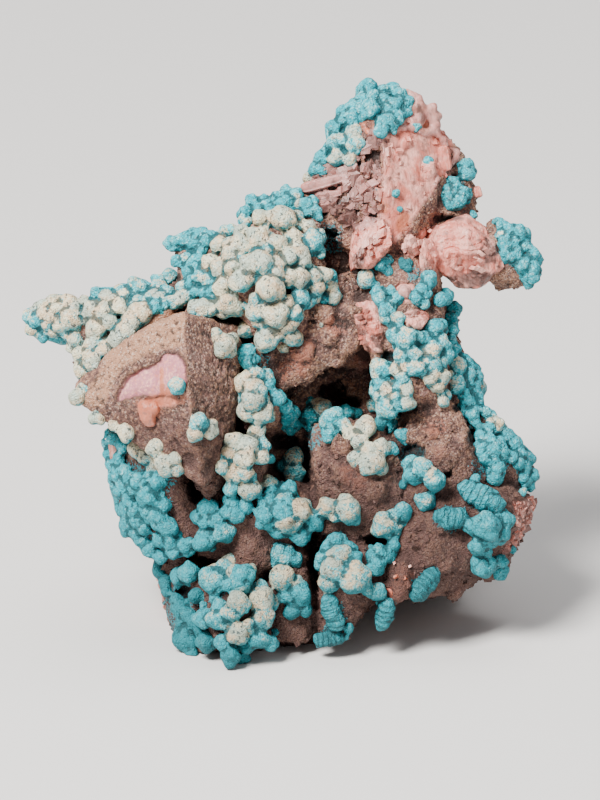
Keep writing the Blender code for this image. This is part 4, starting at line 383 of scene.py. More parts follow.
PALE_LUMPS = (
    (5.8, 57.85, 0.8), (6.05, 56.5, 0.9), (3.85, 56.7, 0.9), (4.5, 56.9, 0.8), (12.7, 58.5, 0.6),
    (21.9, 46.7, 0.5), (-12.3, 44.25, 0.6), (-10.9, 42, 0.75), (-10.1, 41.7, 0.75), (-14.2, 42.3, 0.85),
    (-15.35, 41.7, 0.8), (-12.7, 41, 0.7), (-13.85, 39.3, 0.8), (-14.6, 39.1, 0.7), (-15.35, 39.6, 0.8),
    (-14.4, 40.5, 0.8), (-17.7, 41, 1.15), (-19.4, 40.5, 0.8), (-18.95, 39.85, 0.7), (-17.45, 39.5, 0.7),
    (-15.95, 39.95, 0.8), (-15.4, 41, 0.8), (-6.2, 48.3, 0.6), (-5.7, 48, 0.6), (-0.6, 51, 0.7),
    (-7.4, 47.25, 0.7), (-8.1, 47.15, 0.7), (-3.6, 45, 0.8), (1.4, 46, 1.15), (2, 46.4, 0.8),
    (0.9, 45.3, 0.7), (0.05, 39.8, 1), (0.7, 39.3, 0.8), (2.3, 44.5, 0.5), (-0.2, 39, 0.9),
    (-29.5, 37.9, 0.7), (-28.6, 37.4, 0.75), (-13.1, 30.3, 0.9), (-10.9, 26.4, 1), (-4.8, 31.6, 0.9),
    (-3.6, 31.4, 0.8), (-4.1, 23.9, 0.85), (-5.1, 20.6, 0.5), (-7.4, 19.2, 0.85), (-8.1, 14.5, 1.1),
    (-0.6, 22.5, 1.05), (-0.6, 20.7, 1.05), (-1.65, 17.7, 1.1), (1.6, 15.7, 1.05), (-9.6, 9.3, 1.3),
    (-8.1, 10.7, 0.9), (-6.4, 9.7, 1.35), (-8.8, 5.1, 1.2), (-6.3, 6.6, 0.8), (-4.3, 8.5, 0.8),
    (-4.5, 3, 1.1), (-8.9, 8.5, 0.7), (-8.6, 6.5, 0.9), (-1.95, 11.95, 1.35), (-0.55, 11.4, 0.8),
    (2.5, 11.4, 0.95), (7.3, 8.25, 0.8), (8.2, 8.1, 0.95), (11.2, 16.7, 1), (2.3, 27.7, 1.2),
    (3.5, 26.6, 1.3), (4.8, 26.1, 0.8), (9.9, 23.5, 0.75), (10.1, 26.3, 1), (10.4, 24.55, 0.6),
    (13.1, 21.4, 1.1), (14.6, 20, 1.15), (13.5, 18, 1.1), (7.2, 41.8, 0.95), (8.6, 39.7, 0.8),
    (9.3, 37.6, 0.7), (10.7, 37.7, 0.7), (10, 39.2, 0.6), (13.5, 39.2, 0.6), (17.3, 38.8, 0.5),
    (10.2, 35.7, 0.9), (11.5, 35.5, 1.1), (12.2, 35.6, 0.7), (11, 33.65, 0.9), (11.6, 34.1, 0.6),
    (12.4, 33.65, 0.75), (14.2, 34, 1.05), (15.2, 35.2, 0.85), (15.7, 34.6, 0.7), (8.5, 32.2, 1),
    (12.45, 32.35, 0.85), (13.1, 32, 0.6), (14.4, 32.5, 0.95), (15.1, 32.9, 0.8), (15.8, 29.3, 0.65),
    (9.5, 28.05, 1.25), (8.1, 29.8, 0.7), (8.7, 29.2, 0.8), (8, 28.2, 0.7), (10.8, 30.3, 0.7),
    (10.9, 28.5, 0.9), (15.95, 33.5, 0.7), (17.2, 32.45, 0.95), (17, 31, 0.85), (17, 30.2, 0.8),
    (21.3, 26, 1), (24.2, 18.8, 0.5), (23.1, 12.6, 0.5), (11.1, 31.2, 0.7), (13.4, 33, 0.7),
)
CREAM_LUMPS = (
    (4.1, 55.1, 0.9), (0.85, 52.9, 0.6), (5.5, 54.85, 0.7), (-12.6, 39.95, 0.85), (0.05, 50.05, 0.5),
    # dome
    (-4.4, 48.45, 0.85), (-1.8, 48.3, 1.35), (-2.9, 48.4, 0.9), (-4.5, 46.3, 1.15), (-6.3, 46.9, 0.8),
    (-6.5, 45.65, 0.9), (-8.7, 45.65, 0.85), (-7.5, 45.65, 0.8), (-9.75, 43.6, 0.85), (-8.6, 43.2, 1),
    (-7.4, 44.5, 0.95), (-7.2, 42.95, 0.9), (-6.3, 41.65, 1.15), (-8.25, 41, 1), (-7.6, 39.2, 1.35),
    (-4.1, 43.45, 1.2), (-5.2, 43.35, 1.15), (-2.65, 45.6, 1.1), (-3.2, 40.8, 1.3), (-11.3, 38.8, 0.85),
    (-10.5, 38.7, 0.85), (-9.8, 38.6, 0.8), (0.8, 47.4, 0.85), (-0.7, 46.4, 0.8), (-0.4, 44.7, 1.1),
    (-1.25, 44.25, 1), (0.35, 43.8, 0.85), (-2.65, 43.4, 0.9), (-2.45, 42.3, 0.9), (-1.35, 42.1, 0.9),
    (-0.1, 42, 1), (1.75, 41, 0.9), (1.5, 42.1, 0.8), (2.6, 42.3, 0.85), (3.4, 40.8, 0.8),
    (3.6, 39.9, 0.75), (1.65, 39.85, 0.6),
    # below the dome
    (-4.7, 38.4, 1.1), (-4, 38.9, 0.9), (-4.2, 37.4, 0.8), (-2.6, 38, 1.3), (-1.6, 39.1, 0.9),
    (-0.85, 38.2, 1), (-1.4, 37.1, 1.1), (-3.65, 35.4, 1.3), (-2.5, 36.2, 0.9), (-1.1, 35.8, 1),
    (-0.3, 35.3, 0.75), (-1.7, 34.5, 0.6), (-5.9, 36.4, 0.9),
    # left arm
    (-27.45, 37.15, 0.7), (-28.6, 38.55, 0.7), (-27.7, 38.9, 0.85), (-26.8, 39.5, 0.75),
    (-26.25, 38.55, 0.8), (-25, 39.4, 0.9), (-24.5, 38.8, 0.6), (-24.85, 37.6, 1.1), (-25.95, 36.8, 0.8),
    (-25.3, 36, 0.6), (-29.3, 36.4, 0.6), (-28.4, 36, 0.5), (-26.7, 36.2, 0.6), (-23.5, 39.7, 0.5),
    (-21.1, 39.75, 0.9), (-22.6, 38.55, 0.9), (-21.3, 38.3, 1), (-20.7, 37.4, 0.8), (-19.6, 38.9, 0.9),
    (-22.1, 36.6, 1.1), (-24.4, 35.4, 0.8), (-22.4, 34.7, 1), (-23.7, 33.6, 1), (-24.75, 34.5, 0.6),
    (-21.3, 34.25, 0.9), (-22.5, 33.1, 1.2), (-23.5, 32, 0.95), (-19.15, 40.05, 0.8), (-18.6, 40.6, 0.6),
    (-19.8, 35.3, 0.95), (-18.85, 36.2, 1), (-18.2, 37.3, 1.1), (-17.2, 38.1, 1.1), (-24.1, 29.1, 0.85),
    (-23.7, 30.3, 0.4), (-22.4, 26.8, 0.6), (-21.6, 26.7, 0.6), (-26.9, 37.9, 0.8), (-27.6, 38, 0.8),
    (-20.3, 39.3, 0.8),
    # beside the left crystal
    (-8.1, 34.7, 1.2), (-8.8, 35.3, 0.7), (-7.3, 35.4, 0.7), (-6, 30.7, 1), (-5, 30, 1.1),
    (-5, 28.7, 1.15), (-5.5, 27.6, 1.1), (-4.2, 27.3, 1.1), (-3.4, 27.1, 0.7), (-4.7, 25.5, 0.9),
    (-9.9, 25.7, 1), (-11.3, 25.2, 0.8), (1.85, 38, 0.35), (2.3, 37, 0.3),
    # cluster under the left crystal
    (-7.15, 24, 1.1), (-7.4, 23.15, 1), (-5.75, 23.7, 1.2), (-6, 22.4, 1), (-4.25, 22.7, 0.9),
    (-5, 24.4, 0.8), (-8.45, 21.65, 0.8), (-7.4, 21.1, 1), (-6, 21, 0.9), (-6.7, 20.6, 0.7),
    (-5.5, 19.1, 1.1), (-3.5, 19.7, 0.9), (-0.15, 16.8, 1.2), (-1.45, 15.6, 1.2), (0.4, 17.2, 0.8),
    # left edge
    (-20.2, 26, 0.6), (-18.7, 25.2, 0.9), (-17.6, 23.4, 1), (-16.65, 22.9, 1), (-15.6, 23.7, 0.9),
    (-15.8, 22.5, 0.8), (-14.4, 21.9, 1.1), (-13.5, 22.4, 0.7), (-16, 21.4, 0.7), (-13.2, 21.4, 0.7),
    # lower left front and bottom
    (-9.4, 10.1, 0.9), (-7.9, 11.3, 0.7), (-7.3, 11.4, 0.7), (-7.1, 10, 0.9), (-5.4, 10.4, 0.7),
    (-6.3, 8.8, 0.9), (-6.9, 8.6, 0.4), (-6.7, 7, 1.15), (-7.4, 5.9, 1), (-4.2, 7.1, 1.3),
    (-3.25, 6.9, 0.9), (-4.1, 5.2, 1.25), (-7.9, 4.5, 0.45), (-6.7, 3.55, 1.1), (-5.8, 4.3, 0.8),
    (-1.95, 9.4, 1.3), (-0.45, 9.05, 0.7),
    # right mound
    (4.3, 11.9, 1.2), (3.7, 10.6, 1.2), (3.1, 9.1, 1.05), (5.9, 9.5, 1.6), (9.1, 15.3, 1.2),
    (8.6, 14.75, 0.9), (10.2, 16.15, 0.8), (10.3, 14.9, 0.7),
    # centre right
    (7.2, 25.85, 1.1), (5.5, 24.9, 0.85), (6.4, 24.4, 0.8), (8.7, 23.6, 0.95), (7.5, 23.15, 0.9),
    (6.1, 22.4, 0.85), (7.9, 22.1, 1.25), (7.2, 21.5, 0.8), (8.7, 21.5, 0.8), (3.1, 17.1, 1.1),
    (5.25, 16.9, 1.25), (5, 17.8, 0.8), (3.85, 16.4, 0.8), (5.7, 16.05, 0.8), (14.15, 20.55, 0.8),
    (11.4, 32.5, 0.6), (10.5, 32.1, 0.7), (14.4, 31.5, 0.8), (13.95, 31.1, 0.7), (15.35, 31.3, 0.8),
    (9.5, 29.9, 0.8), (11.5, 28.6, 0.9), (11.6, 29.8, 0.7), (14.8, 30.3, 0.7), (15.5, 28.6, 0.6),
    (16.6, 31.5, 0.6), (10.1, 29, 0.8),
)
SHADED_LUMPS = (
    (-16.7, 40.4, 0.6), (-0.4, 48.4, 0.7), (-1.3, 22.3, 0.6), (-2.1, 21.6, 0.6), (-3.2, 22.4, 0.6),
    (-2.85, 20, 0.5), (-15.3, 10, 0.8), (-14.65, 8.9, 0.8), (-14.5, 8, 0.7), (-15.4, 10.8, 0.7),
    (-13, 6, 1), (-12.1, 5.4, 0.9), (-12.8, 4.5, 0.9), (-11.5, 4.6, 0.8), (-12.4, 2.8, 1.3),
    (-12.9, 3.2, 1), (-10, 2.6, 1.2), (-11.7, 1.2, 0.8), (-7.5, 1.1, 1.15), (-6.3, 0.9, 0.9),
    (-5.9, 2, 0.75), (-2.7, 3.55, 0.5), (-0.9, 5.9, 0.9), (0.6, 6, 0.8), (6.3, 27.3, 0.6),
    (8.7, 26.2, 0.75), (11.3, 43.4, 0.5), (11.9, 43.7, 0.45), (11.7, 43, 0.5), (11, 43.9, 0.4),
    (11, 44.8, 0.4), (19.5, 25.7, 0.6), (11.2, 19.6, 0.6), (-13.4, 7, 0.8), (-11.2, 7.6, 0.9),
    (-10.8, 3.8, 0.8),
)
# Ribbed, worm-shaped lumps: one end (u, v), the other end, radius, and how shaded it is.
RIBBED_LUMPS = (
    ((18, 19.15), (21.3, 17.5), 1.35, 0), ((15.1, 16), (17.4, 16), 1.35, 0.45),
    ((3.1, 7.05), (3.9, 4.6), 1.2, 0.1), ((2, 2.8), (4.3, 3), 0.9, 0.45),
    ((9.5, 6.6), (8.9, 4.5), 1.05, 0.1), ((14.5, 9.9), (12.6, 7.8), 1.2, 0.6),
)
# Patches of lumps out of sight on the back and sides: the block, the way (u, v, w) that the patch
# faces, how many lumps, and how wide the patch is, from 0 to 1 for half the block.
HIDDEN_LUMPS = (
    ("upper core", (0.5, 0.6, 1), 9, 0.1),
    ("upper core", (-0.8, 0.3, 1), 8, 0.08),
    ("lower core", (-0.9, 0.5, 0.7), 8, 0.06),
    ("back hump", (0.4, 0.5, 0.7), 9, 0.08),
    ("back hump", (-0.7, 0.2, 0.8), 8, 0.07),
    ("peak crystal", (-0.5, 0.9, 0.8), 9, 0.16),
    ("peak crystal", (0.6, 0.1, 1), 6, 0.1),
    ("arm end", (0.6, 0.5, 0.8), 5, 0.5),
    ("left arm tip", (-0.7, 0.6, 1), 5, 0.5),
    ("left arm", (-0.2, 1, 0.8), 6, 0.2),
    ("left edge", (-0.7, 0, 0.9), 8, 0.2),
    ("edge band lower", (0.7, 0.5, 1), 6, 0.3),
    ("edge band upper", (0.4, 0.2, 1), 5, 0.2),
)

# Calcite rhombs half sunk in their blocks: the block, the way that they face, how many, how wide
# they are spread, and their edge length.
DRUSE = (
    ("left crystal", (0.6, -0.2, -1), 8, 0.75, 1.5),
    ("centre rock", (0, -0.2, -1), 7, 0.75, 1.5),
    ("low face", (0.2, 0, -1), 7, 0.75, 1.5),
    ("right face", (0.2, 0.2, -1), 6, 0.75, 1.4),
    ("low right", (0, -0.3, -1), 7, 0.75, 1.6),
    ("peak crystal", (0.7, 0.2, -0.8), 6, 0.75, 1.6),
    ("peak shoulder", (0.2, -0.2, -1), 5, 0.75, 1.5),
    ("upper core", (0.1, -0.1, 1), 5, 0.4, 8),
    ("lower core", (0, 0.1, 1), 6, 0.6, 10),
    ("back hump", (0.1, 0.2, 1), 7, 0.6, 7.5),
    ("base rear", (0.1, 0.3, 1), 5, 0.6, 5),
    ("peak crystal", (0.1, -0.1, 1), 4, 0.4, 5.5),
    ("back hump", (0.2, 0.3, 1), 8, 0.8, 3),
    ("upper core", (0, 0.1, 1), 7, 0.7, 3.2),
)

# Where the crust is broken off the left crystal, and the other bare or coloured places on the
# display face: outlines of (u, v) corners, then ellipses (u, v, half width, half height).
WINDOW = (
    (-19.9, 29), (-19.4, 30.05), (-18.3, 31.55), (-16.3, 32.6), (-15, 33.2), (-14.65, 34), (-13.1, 34),
    (-12.5, 33.1), (-12.1, 31.55), (-12, 30.4), (-13.5, 29.3), (-17.2, 29.2), (-19.8, 28.6),
)
TAN_FACE = (
    (-23.8, 28.3), (-20.6, 34.4), (-18, 35.6), (-16.15, 36.9), (-15.8, 37.9), (-13, 38.8), (-12.3, 38.1),
    (-12.6, 34.6), (-15, 34.4), (-19.2, 32.2), (-20.6, 29.6), (-21.4, 28),
)
PINK_OUTLINES = (
    ((8.6, 47.5), (8.5, 51), (8.9, 55), (8.6, 58), (10, 59.5), (12.5, 61.5), (15, 60.2),
     (16.6, 57), (16.6, 53), (14.6, 53), (14.3, 51.3), (13.3, 49.8), (12.1, 48.6),
     (11.6, 47.1), (10.2, 45.6)),
    ((23, 17.6), (24.7, 18.4), (26.2, 18.7), (26.2, 17.3), (25.5, 16), (24.8, 14.6),
     (23.8, 13.2), (22.55, 12.2), (21.4, 12.15), (23.3, 14.8)),
)
# The crumbled part of the peak.
CRUMBLED = (
    (-0.2, 51.4), (1.2, 53.5), (3, 54.6), (5.2, 54.2), (6.6, 57), (7.4, 59.4), (8.6, 58), (9, 54),
    (8.9, 51), (8.6, 48.2), (7, 47), (4.6, 47.6), (2.6, 49.4), (1, 50.6),
)
SPOTS = {
    "pink": (
        (12.3, 45.15, 0.9, 0.9), (13.7, 45.4, 0.6, 1.2), (13.9, 43.5, 1.1, 1.1), (13.5, 46.8, 0.6, 0.6),
        (11.3, 40.5, 1.1, 1.1), (-12.1, 1.4, 0.4, 0.4), (9.6, 7.6, 0.5, 1), (12.2, 8.8, 0.5, 1.2),
        (-20.1, 23.2, 0.6, 1.7), (-14.6, 28.7, 1.6, 0.5),
    ),
    "stain": (
        (-14.2, 28.9, 2, 0.8), (-13.6, 29.6, 0.9, 0.8), (-14.9, 30.4, 0.3, 1.7), (-16.4, 27.5, 1.3, 1.4),
        (0, 33.6, 1.3, 2.2), (-1.6, 32.2, 0.9, 1.4), (14.5, 25.9, 1.4, 0.9), (4, 37, 1.2, 1.2),
        (11.2, 48, 0.8, 1.2), (9, 49.6, 0.8, 0.7), (10.8, 9, 1.2, 2), (7.2, 58.3, 0.9, 0.9),
        (12.6, 60.6, 1.1, 0.8), (13.6, 58.6, 0.7, 0.8), (6, 21.5, 1.6, 2),
    ),
    # Small hollows: cut into the crust, and darkened there with painted shade.
    "hollow": (
        (3.6, 29.6, 1.7, 1.3), (5.4, 28.4, 1.1, 0.8), (9.5, 33.5, 0.8, 0.8), (-7.7, 37.4, 0.9, 0.5),
        (-1.5, 40.6, 0.9, 0.6), (-1.5, 24.3, 1.7, 0.9), (0.5, 22.2, 0.8, 2.6), (1.5, 11.6, 0.7, 3.4),
        (12.2, 23.1, 1.2, 0.8), (-12.5, 7.8, 0.8, 1), (17, 27.9, 0.35, 0.4), (18.75, 24.7, 0.6, 0.9),
        (16, 20.8, 0.4, 0.4), (-5.2, 45, 0.5, 0.5), (7.9, 55.3, 0.8, 0.9), (6, 48.8, 0.3, 0.6),
        (2.6, 49.3, 0.5, 0.5), (4.3, 50, 0.35, 0.6), (7.1, 50.4, 0.3, 0.7), (9.3, 56.4, 0.25, 0.8),
        (13.3, 59.6, 0.35, 0.7), (12.9, 60.5, 0.3, 0.5), (16, 48.6, 1.6, 0.3), (6.3, 54.2, 0.3, 0.9),
        (5.6, 51.6, 0.5, 0.3), (3.6, 51.8, 0.6, 0.25), (7.9, 48.8, 0.4, 0.6),
    ),
    "crust": (
        (3.8, 49.4, 2.2, 1.8), (7.8, 54.6, 0.6, 1), (20.6, 45, 1.2, 1.5), (18.6, 41.9, 2.6, 0.9),
        (6.4, 44, 0.5, 0.8), (6.5, 36.9, 0.8, 0.9), (8.4, 35, 0.6, 1), (7.4, 34, 0.7, 0.5),
    ),
    "teal": (
        (3.2, 46.6, 1.6, 1.4), (17.6, 48, 1.3, 0.6), (12.6, 42.4, 1.4, 1), (-4.2, 33, 1.2, 0.8),
        (10, 33.2, 1.6, 1), (-13.4, 6.4, 1.8, 2.6), (19.2, 25.4, 0.9, 1.2), (12, 22.6, 1.4, 1.2),
        (-16.6, 19, 2.6, 3.6), (1.6, 24.6, 0.9, 1.4), (20.8, 22.4, 2, 2),
    ),
}

# The small pink patch between the lumps at the left of the peak.
PEAK_PATCH = ((6.2, 59.4), (7.1, 59.5), (8.3, 58.2), (8, 57), (6.9, 57.2), (6.2, 58.2))

# Loose pieces of pink calcite: the block each group lies on, its outline or None for the whole
# block, how many, their smallest and largest edge, and their turn, or None for any.
PINK_GROUPS = (
    ("peak crystal", PINK_OUTLINES[0], 8, 0.3, 0.8, (0.35, 0.5, 0.2)),
    ("peak crystal", CRUMBLED, 330, 0.28, 1, None),
    ("peak crystal", PEAK_PATCH, 60, 0.25, 0.7, None),
    ("peak shoulder", PINK_OUTLINES[0], 14, 0.3, 0.8, (0.35, 0.5, 0.2)),
    ("arm crystal", None, 34, 0.25, 0.8, (0.2, 0.75, -0.5)),
    ("pink crystal A", None, 20, 0.25, 0.7, (0.5, 0.2, 0.6)),
    ("pink crystal B", None, 10, 0.3, 0.7, (0.9, 0.4, 0.1)),
    ("pink crystal C", None, 10, 0.3, 0.7, (0.4, 0.9, 0.3)),
    ("pink crystal D", None, 8, 0.25, 0.6, (0.4, 0.6, 0.3)),
    ("pink crystal E", None, 10, 0.25, 0.6, (0.1, 0.5, 0.7)),
    ("edge crystal", None, 6, 0.25, 0.6, (0.7, 0.1, 0.5)),
    ("right bulge", PINK_OUTLINES[1], 200, 0.18, 0.5, None),
)
# Long pink blades at the peak: one end (u, v), the other end, half width and half thickness.
BLADES = (
    ((0, 51.7), (5.3, 53.1), 0.55, 0.4), ((1.6, 50.9), (4.6, 51.3), 0.4, 0.3),
    ((15.9, 53.7), (15.6, 56.6), 0.62, 0.5), ((19.6, 50.9), (19.3, 52.2), 0.38, 0.35),
    ((-20.5, 24.9), (-20.2, 21.8), 0.45, 0.7),
)
# Rounded folds of pale pink calcite along the right edge of the peak, each (u, v, radius).
PINK_FOLDS = (
    (11.7, 62.2, 0.5), (12.2, 61.9, 0.65), (12.8, 61.5, 0.7), (12.9, 60.7, 0.8), (13.3, 60, 0.7),
    (13, 59.3, 0.7), (13.9, 60.3, 0.65), (14.4, 59.6, 0.75), (14.7, 58.8, 0.7), (14.3, 58.1, 0.6),
    (13.6, 57.9, 0.5), (12.9, 58.1, 0.5), (12.1, 58.3, 0.5), (11.3, 58.4, 0.5), (10.6, 58.3, 0.45),
    (9.9, 58, 0.4), (15, 57.7, 0.5), (15.6, 57.2, 0.5), (15.9, 56.6, 0.45), (16.6, 56.2, 0.4),
    (17.2, 55.9, 0.45), (17, 55.2, 0.5), (16.5, 54.6, 0.45), (12.2, 59.2, 0.5), (11.9, 60.3, 0.5),
    (14.4, 53.6, 0.45), (14.9, 52.9, 0.5), (14.6, 52.1, 0.4), (19.2, 51.7, 0.4), (19.4, 51.1, 0.35),
    (-16.7, 27.9, 0.9), (-16.4, 27.1, 0.9), (-15.8, 27.9, 0.8), (-16.2, 26.5, 0.7), (7, 58.6, 0.45),
    (7.4, 57.9, 0.45), (14.5, 60.7, 0.6), (15.1, 59.8, 0.55), (11.3, 40.5, 0.8),
)

# Rings, and points on each ring, of the balls that surfaces are worked out on.
BLOCK_RINGS = (46, 92)
PIT_RINGS = (24, 48)
LUMP_RINGS = (17, 32)
LEFT_RINGS = (125, 260)
CRYSTAL_RINGS = (52, 104)
FOLD_RINGS = (14, 28)
BLADE_RINGS = (22, 20)
# How much the rings of a ball that faces the viewer gather towards its pole.
GATHER = 1.25
# The corner angle of every rhomb, how much a large one turns about each axis for one turn, and
# how far a loose one is off its group's turn.
RHOMB_ANGLE = math.radians(75)
RHOMB_TURN = (1.0, 1.7, 0.9)
LOOSE_TURN = 0.09
# The crystals with a surface of their own. The painted blocks are pink only where the paint is,
# and their pink skin is sunk by SUNK elsewhere.
LEFT_CRYSTAL = "left crystal"
WHOLE_CRYSTALS = (
    "arm crystal", "pink crystal A", "pink crystal B", "pink crystal C", "pink crystal D",
    "pink crystal E",
)
PAINTED_BLOCKS = ("peak crystal", "peak shoulder", "edge crystal")
SUNK = 1.0
# How many flat chips are knocked off a whole crystal, and between which depths.
CHIPS = 16
CHIP_DEPTH = (0.05, 0.55)
# The blocks that no lump of the display side sits on, and those with no rhombs on that side.
FAR_BLOCKS = ("back hump", "base front", "base rear")
BARE_OF_RHOMBS = ("peak crystal", "peak shoulder", "left crystal")
# The first and last depth and the step at which a sight line that misses the blocks is tried.
DEPTH_RANGE = (-8.0, 14.0, 0.25)
# A slope or a reach below this counts as none.
FLAT = 1e-6
# The turn from one point of a golden spiral to the next.
GOLDEN_ANGLE = math.pi * (3 - math.sqrt(5))
# Each coat's lumps, how much larger they are than the circles traced inside them, how cream
# they are and how shaded.
COATS = (
    (TURQUOISE_LUMPS, 1.14, 0.05, 0), (PALE_LUMPS, 1.2, 0.5, 0), (CREAM_LUMPS, 1.26, 0.95, 0),
    (SHADED_LUMPS, 1.14, 0, 0.6),
)
# How many balls a lump is made of and, in radii, how deep it sits in its block, how far it
# reaches beyond the block's outline, and how far below its middle its foot is cut off.
LOBES = 8
LUMP_SEAT = 0.3
GRIP = 0.5
FOOT = 0.5
# How far a lump's own marks reach, and how far it crowds what is near it.
SHARE_REACH = 0.08
CROWD_REACH = 0.35
# Where the patches of lumps part, in u, and how much wider apart the back's points are.
PATCH_EDGES = (-6.5, 7.5)
BACK_COARSER = 1.4
# How far apart and how high the ribs of a worm-shaped lump are, how far back one end may lie
# from the other, how much thinner its ends are, and how cream it is.
RIB_SPACING = 0.62
RIB_HEIGHT = 0.045
RIBBED_SLANT = 1.0
RIBBED_TAPER = 0.22
RIBBED_CREAM = 0.1
# How far apart and how high the tiny round beads on the coat are.
BEAD_SPACING = 0.78
BEAD_HEIGHT = 0.2
# How far apart the points of the pink folds are, in metres.
FOLD_SPACING = 0.0002
# Between which heights painted shade darkens the coat and the crust downwards, how much less
# cream the coat is low on the face, and how much painted shade its lumps get there.
LOW_FACE = (27.0, 14.0)
LOW_CRUST = (29.0, 18.0)
LOW_CREAM_LOSS = 0.22
LOW_SHADE = 0.3
# How deep the small hollows go, and the depth that counts as a full cavity of the crust.
HOLLOW_DEPTH = 1.3
CAVITY_DEPTH = 0.12
# How deep the finest relief of each finish is, in metres, and the shade between cleavage plates.
CRUST_BUMP = 0.00014
CALCITE_BUMP = 0.00022
COAT_BUMP = 0.00008
FLOOR_BUMP = 0.00002
CLEAVAGE_SHADE = (0.27, 0.11, 0.085)
# The way that the light comes from, in (u, v, w): the side of a lump that faces it gets
# painted light in its cream, and the side turned from it painted shade.
LIGHT_SIDE = (-0.35, 0.75, -0.55)
# The lights: name, place and size in metres, power and colour.
LIGHTS = (
    ("key light", (-0.36, -0.42, 0.72), 0.3, 24.5, (1.0, 0.98, 0.95)),
    ("fill light", (0.6, -0.6, 0.5), 0.6, 1.2, (0.95, 0.97, 1.0)),
    ("top light", (0.1, 0.2, 0.8), 0.6, 4.0, (1.0, 1.0, 1.0)),
)
# The floor's half width and how far it lies under the base, in metres.
FLOOR_HALF = 3.0
FLOOR_GAP = 0.00002

# The turn and the move from the display face to the row, and the skew that makes a cube a rhomb.
SINE, COSINE = math.sin(LEAN), math.cos(LEAN)
TO_ROW = np.array(((1, 0, 0), (0, SINE, COSINE), (0, COSINE, -SINE)))
SHIFT = np.array((-CENTRE_U, -CENTRE_DEPTH, -BASE_CUT))
SKEW = np.array(
    ((1, math.cos(RHOMB_ANGLE), math.cos(RHOMB_ANGLE)), (0, 1, math.cos(RHOMB_ANGLE)), (0, 0, 1))
)
# A cube's corners and sides.
CUBE = np.indices((2, 2, 2)).reshape(3, 8).T - 0.5
CUBE_QUADS = np.array(
    ((0, 1, 3, 2), (4, 6, 7, 5), (0, 4, 5, 1), (2, 3, 7, 6), (0, 2, 6, 4), (1, 5, 7, 3))
)


def to_row(points):
    """Display millimetres to the row's metres: turned by LEAN, then moved to the base's middle."""
    return (points @ TO_ROW.T + SHIFT) * MM


def to_display(rows):
    """The row's metres back to display millimetres."""
    return (rows / MM - SHIFT) @ TO_ROW


def ease(value, low, high):
    """0 at low, 1 at high, and the S curve t * t * (3 - 2 * t) between them."""
    t = np.clip((value - low) / (high - low), 0.0, 1.0)
    return t * t * (3 - 2 * t)


def chance(cells, seed):
    """A value from 0 to 1 for each cell of a lattice, mixed from its three whole numbers."""
    key = cells[..., 0] * 73856093 ^ cells[..., 1] * 19349663 ^ cells[..., 2] * 83492791
    key = key + seed * 9176263
    key = (key ^ (key >> 13)) * 1274126177
    key = key ^ (key >> 16)
    return (key & 0xFFFFFF) / 0xFFFFFF


def soft_noise(points, size, seed):
    """Noise from -1 to 1: chance at the corners of cells of a size, blended by the S curve."""
    place = points / size
    cell = np.floor(place).astype(np.int64)
    t = ease(place - cell, 0, 1)
    total = np.zeros(points.shape[:-1])
    for corner in np.ndindex(2, 2, 2):
        weight = np.prod(np.where(np.array(corner) == 1, t, 1 - t), axis=-1)
        total += weight * chance(cell + np.array(corner), seed)
    return 2 * total - 1


def grains(points, size, seed):
    """The distances, in grains, to the nearest and the next of a lattice of scattered points."""
    place = points / size
    base = np.floor(place).astype(np.int64)
    near = np.full(points.shape[:-1], 9.0)
    after = near.copy()
    for step in np.ndindex(3, 3, 3):
        cell = base + np.array(step) - 1
        spot = cell + np.stack([chance(cell, seed + axis) for axis in range(3)], axis=-1)
        gap = np.linalg.norm(place - spot, axis=-1)
        after = np.minimum(after, np.maximum(near, gap))
        near = np.minimum(near, gap)
    return near, after


def ringed(angles, around, way):
    """Directions from two poles and the rings between them: (sin a cos b, sin a sin b, cos a)."""
    b = np.arange(around) * 2 * math.pi / around
    sine, ends = np.sin(angles), way * np.cos(angles)
    rows = np.stack([sine * np.cos(b), sine * np.sin(b), ends + 0 * b], axis=-1)
    return np.vstack([(0, 0, way), rows.reshape(-1, 3), (0, 0, -way)])


def ball(rings, around):
    """Directions all round, on evenly spaced rings."""
    return ringed(np.linspace(0, math.pi, rings + 2)[1:-1, None], around, 1)


def facing_ball(rings, around):
    """Directions of a ball whose pole faces the viewer, with the rings gathered towards it: the
    ring at share t lies at the angle pi * t ** GATHER."""
    share = np.linspace(0, 1, rings + 2)[1:-1, None]
    return ringed(math.pi * share**GATHER, around, -1)


def ball_faces(rings, around, count=1):
    """The quads between the rings of each of several balls, and the triangles round its poles."""
    index = 1 + np.arange(rings * around).reshape(rings, around)
    after = np.roll(index, -1, axis=1)
    size = rings * around + 2
    quads = np.stack([index[:-1], index[1:], after[1:], after[:-1]], axis=-1).reshape(-1, 4)
    first = np.stack([np.zeros(around, int), index[0], after[0]], axis=-1)
    last = np.stack([np.full(around, size - 1), after[-1], index[-1]], axis=-1)
    return repeat_faces(quads, count, size), repeat_faces(np.vstack([first, last]), count, size)


def repeat_faces(faces, count, size):
    """The same faces for each of several shells that hold size points each."""
    return (faces + size * np.arange(count)[:, None, None]).reshape(-1, faces.shape[1])


def outward_faces(rows, faces):
    """Tables of faces, turned round if the volume that they enclose comes out negative."""
    fans = np.vstack([
        table[:, [0, corner, corner + 1]]
        for table in faces for corner in range(1, table.shape[1] - 1)
    ])
    a, b, c = (rows[fans[:, corner]] for corner in range(3))
    if np.einsum("ij,ij->", a, np.cross(b, c)) > 0:
        return faces
    return [table[:, ::-1] for table in faces]


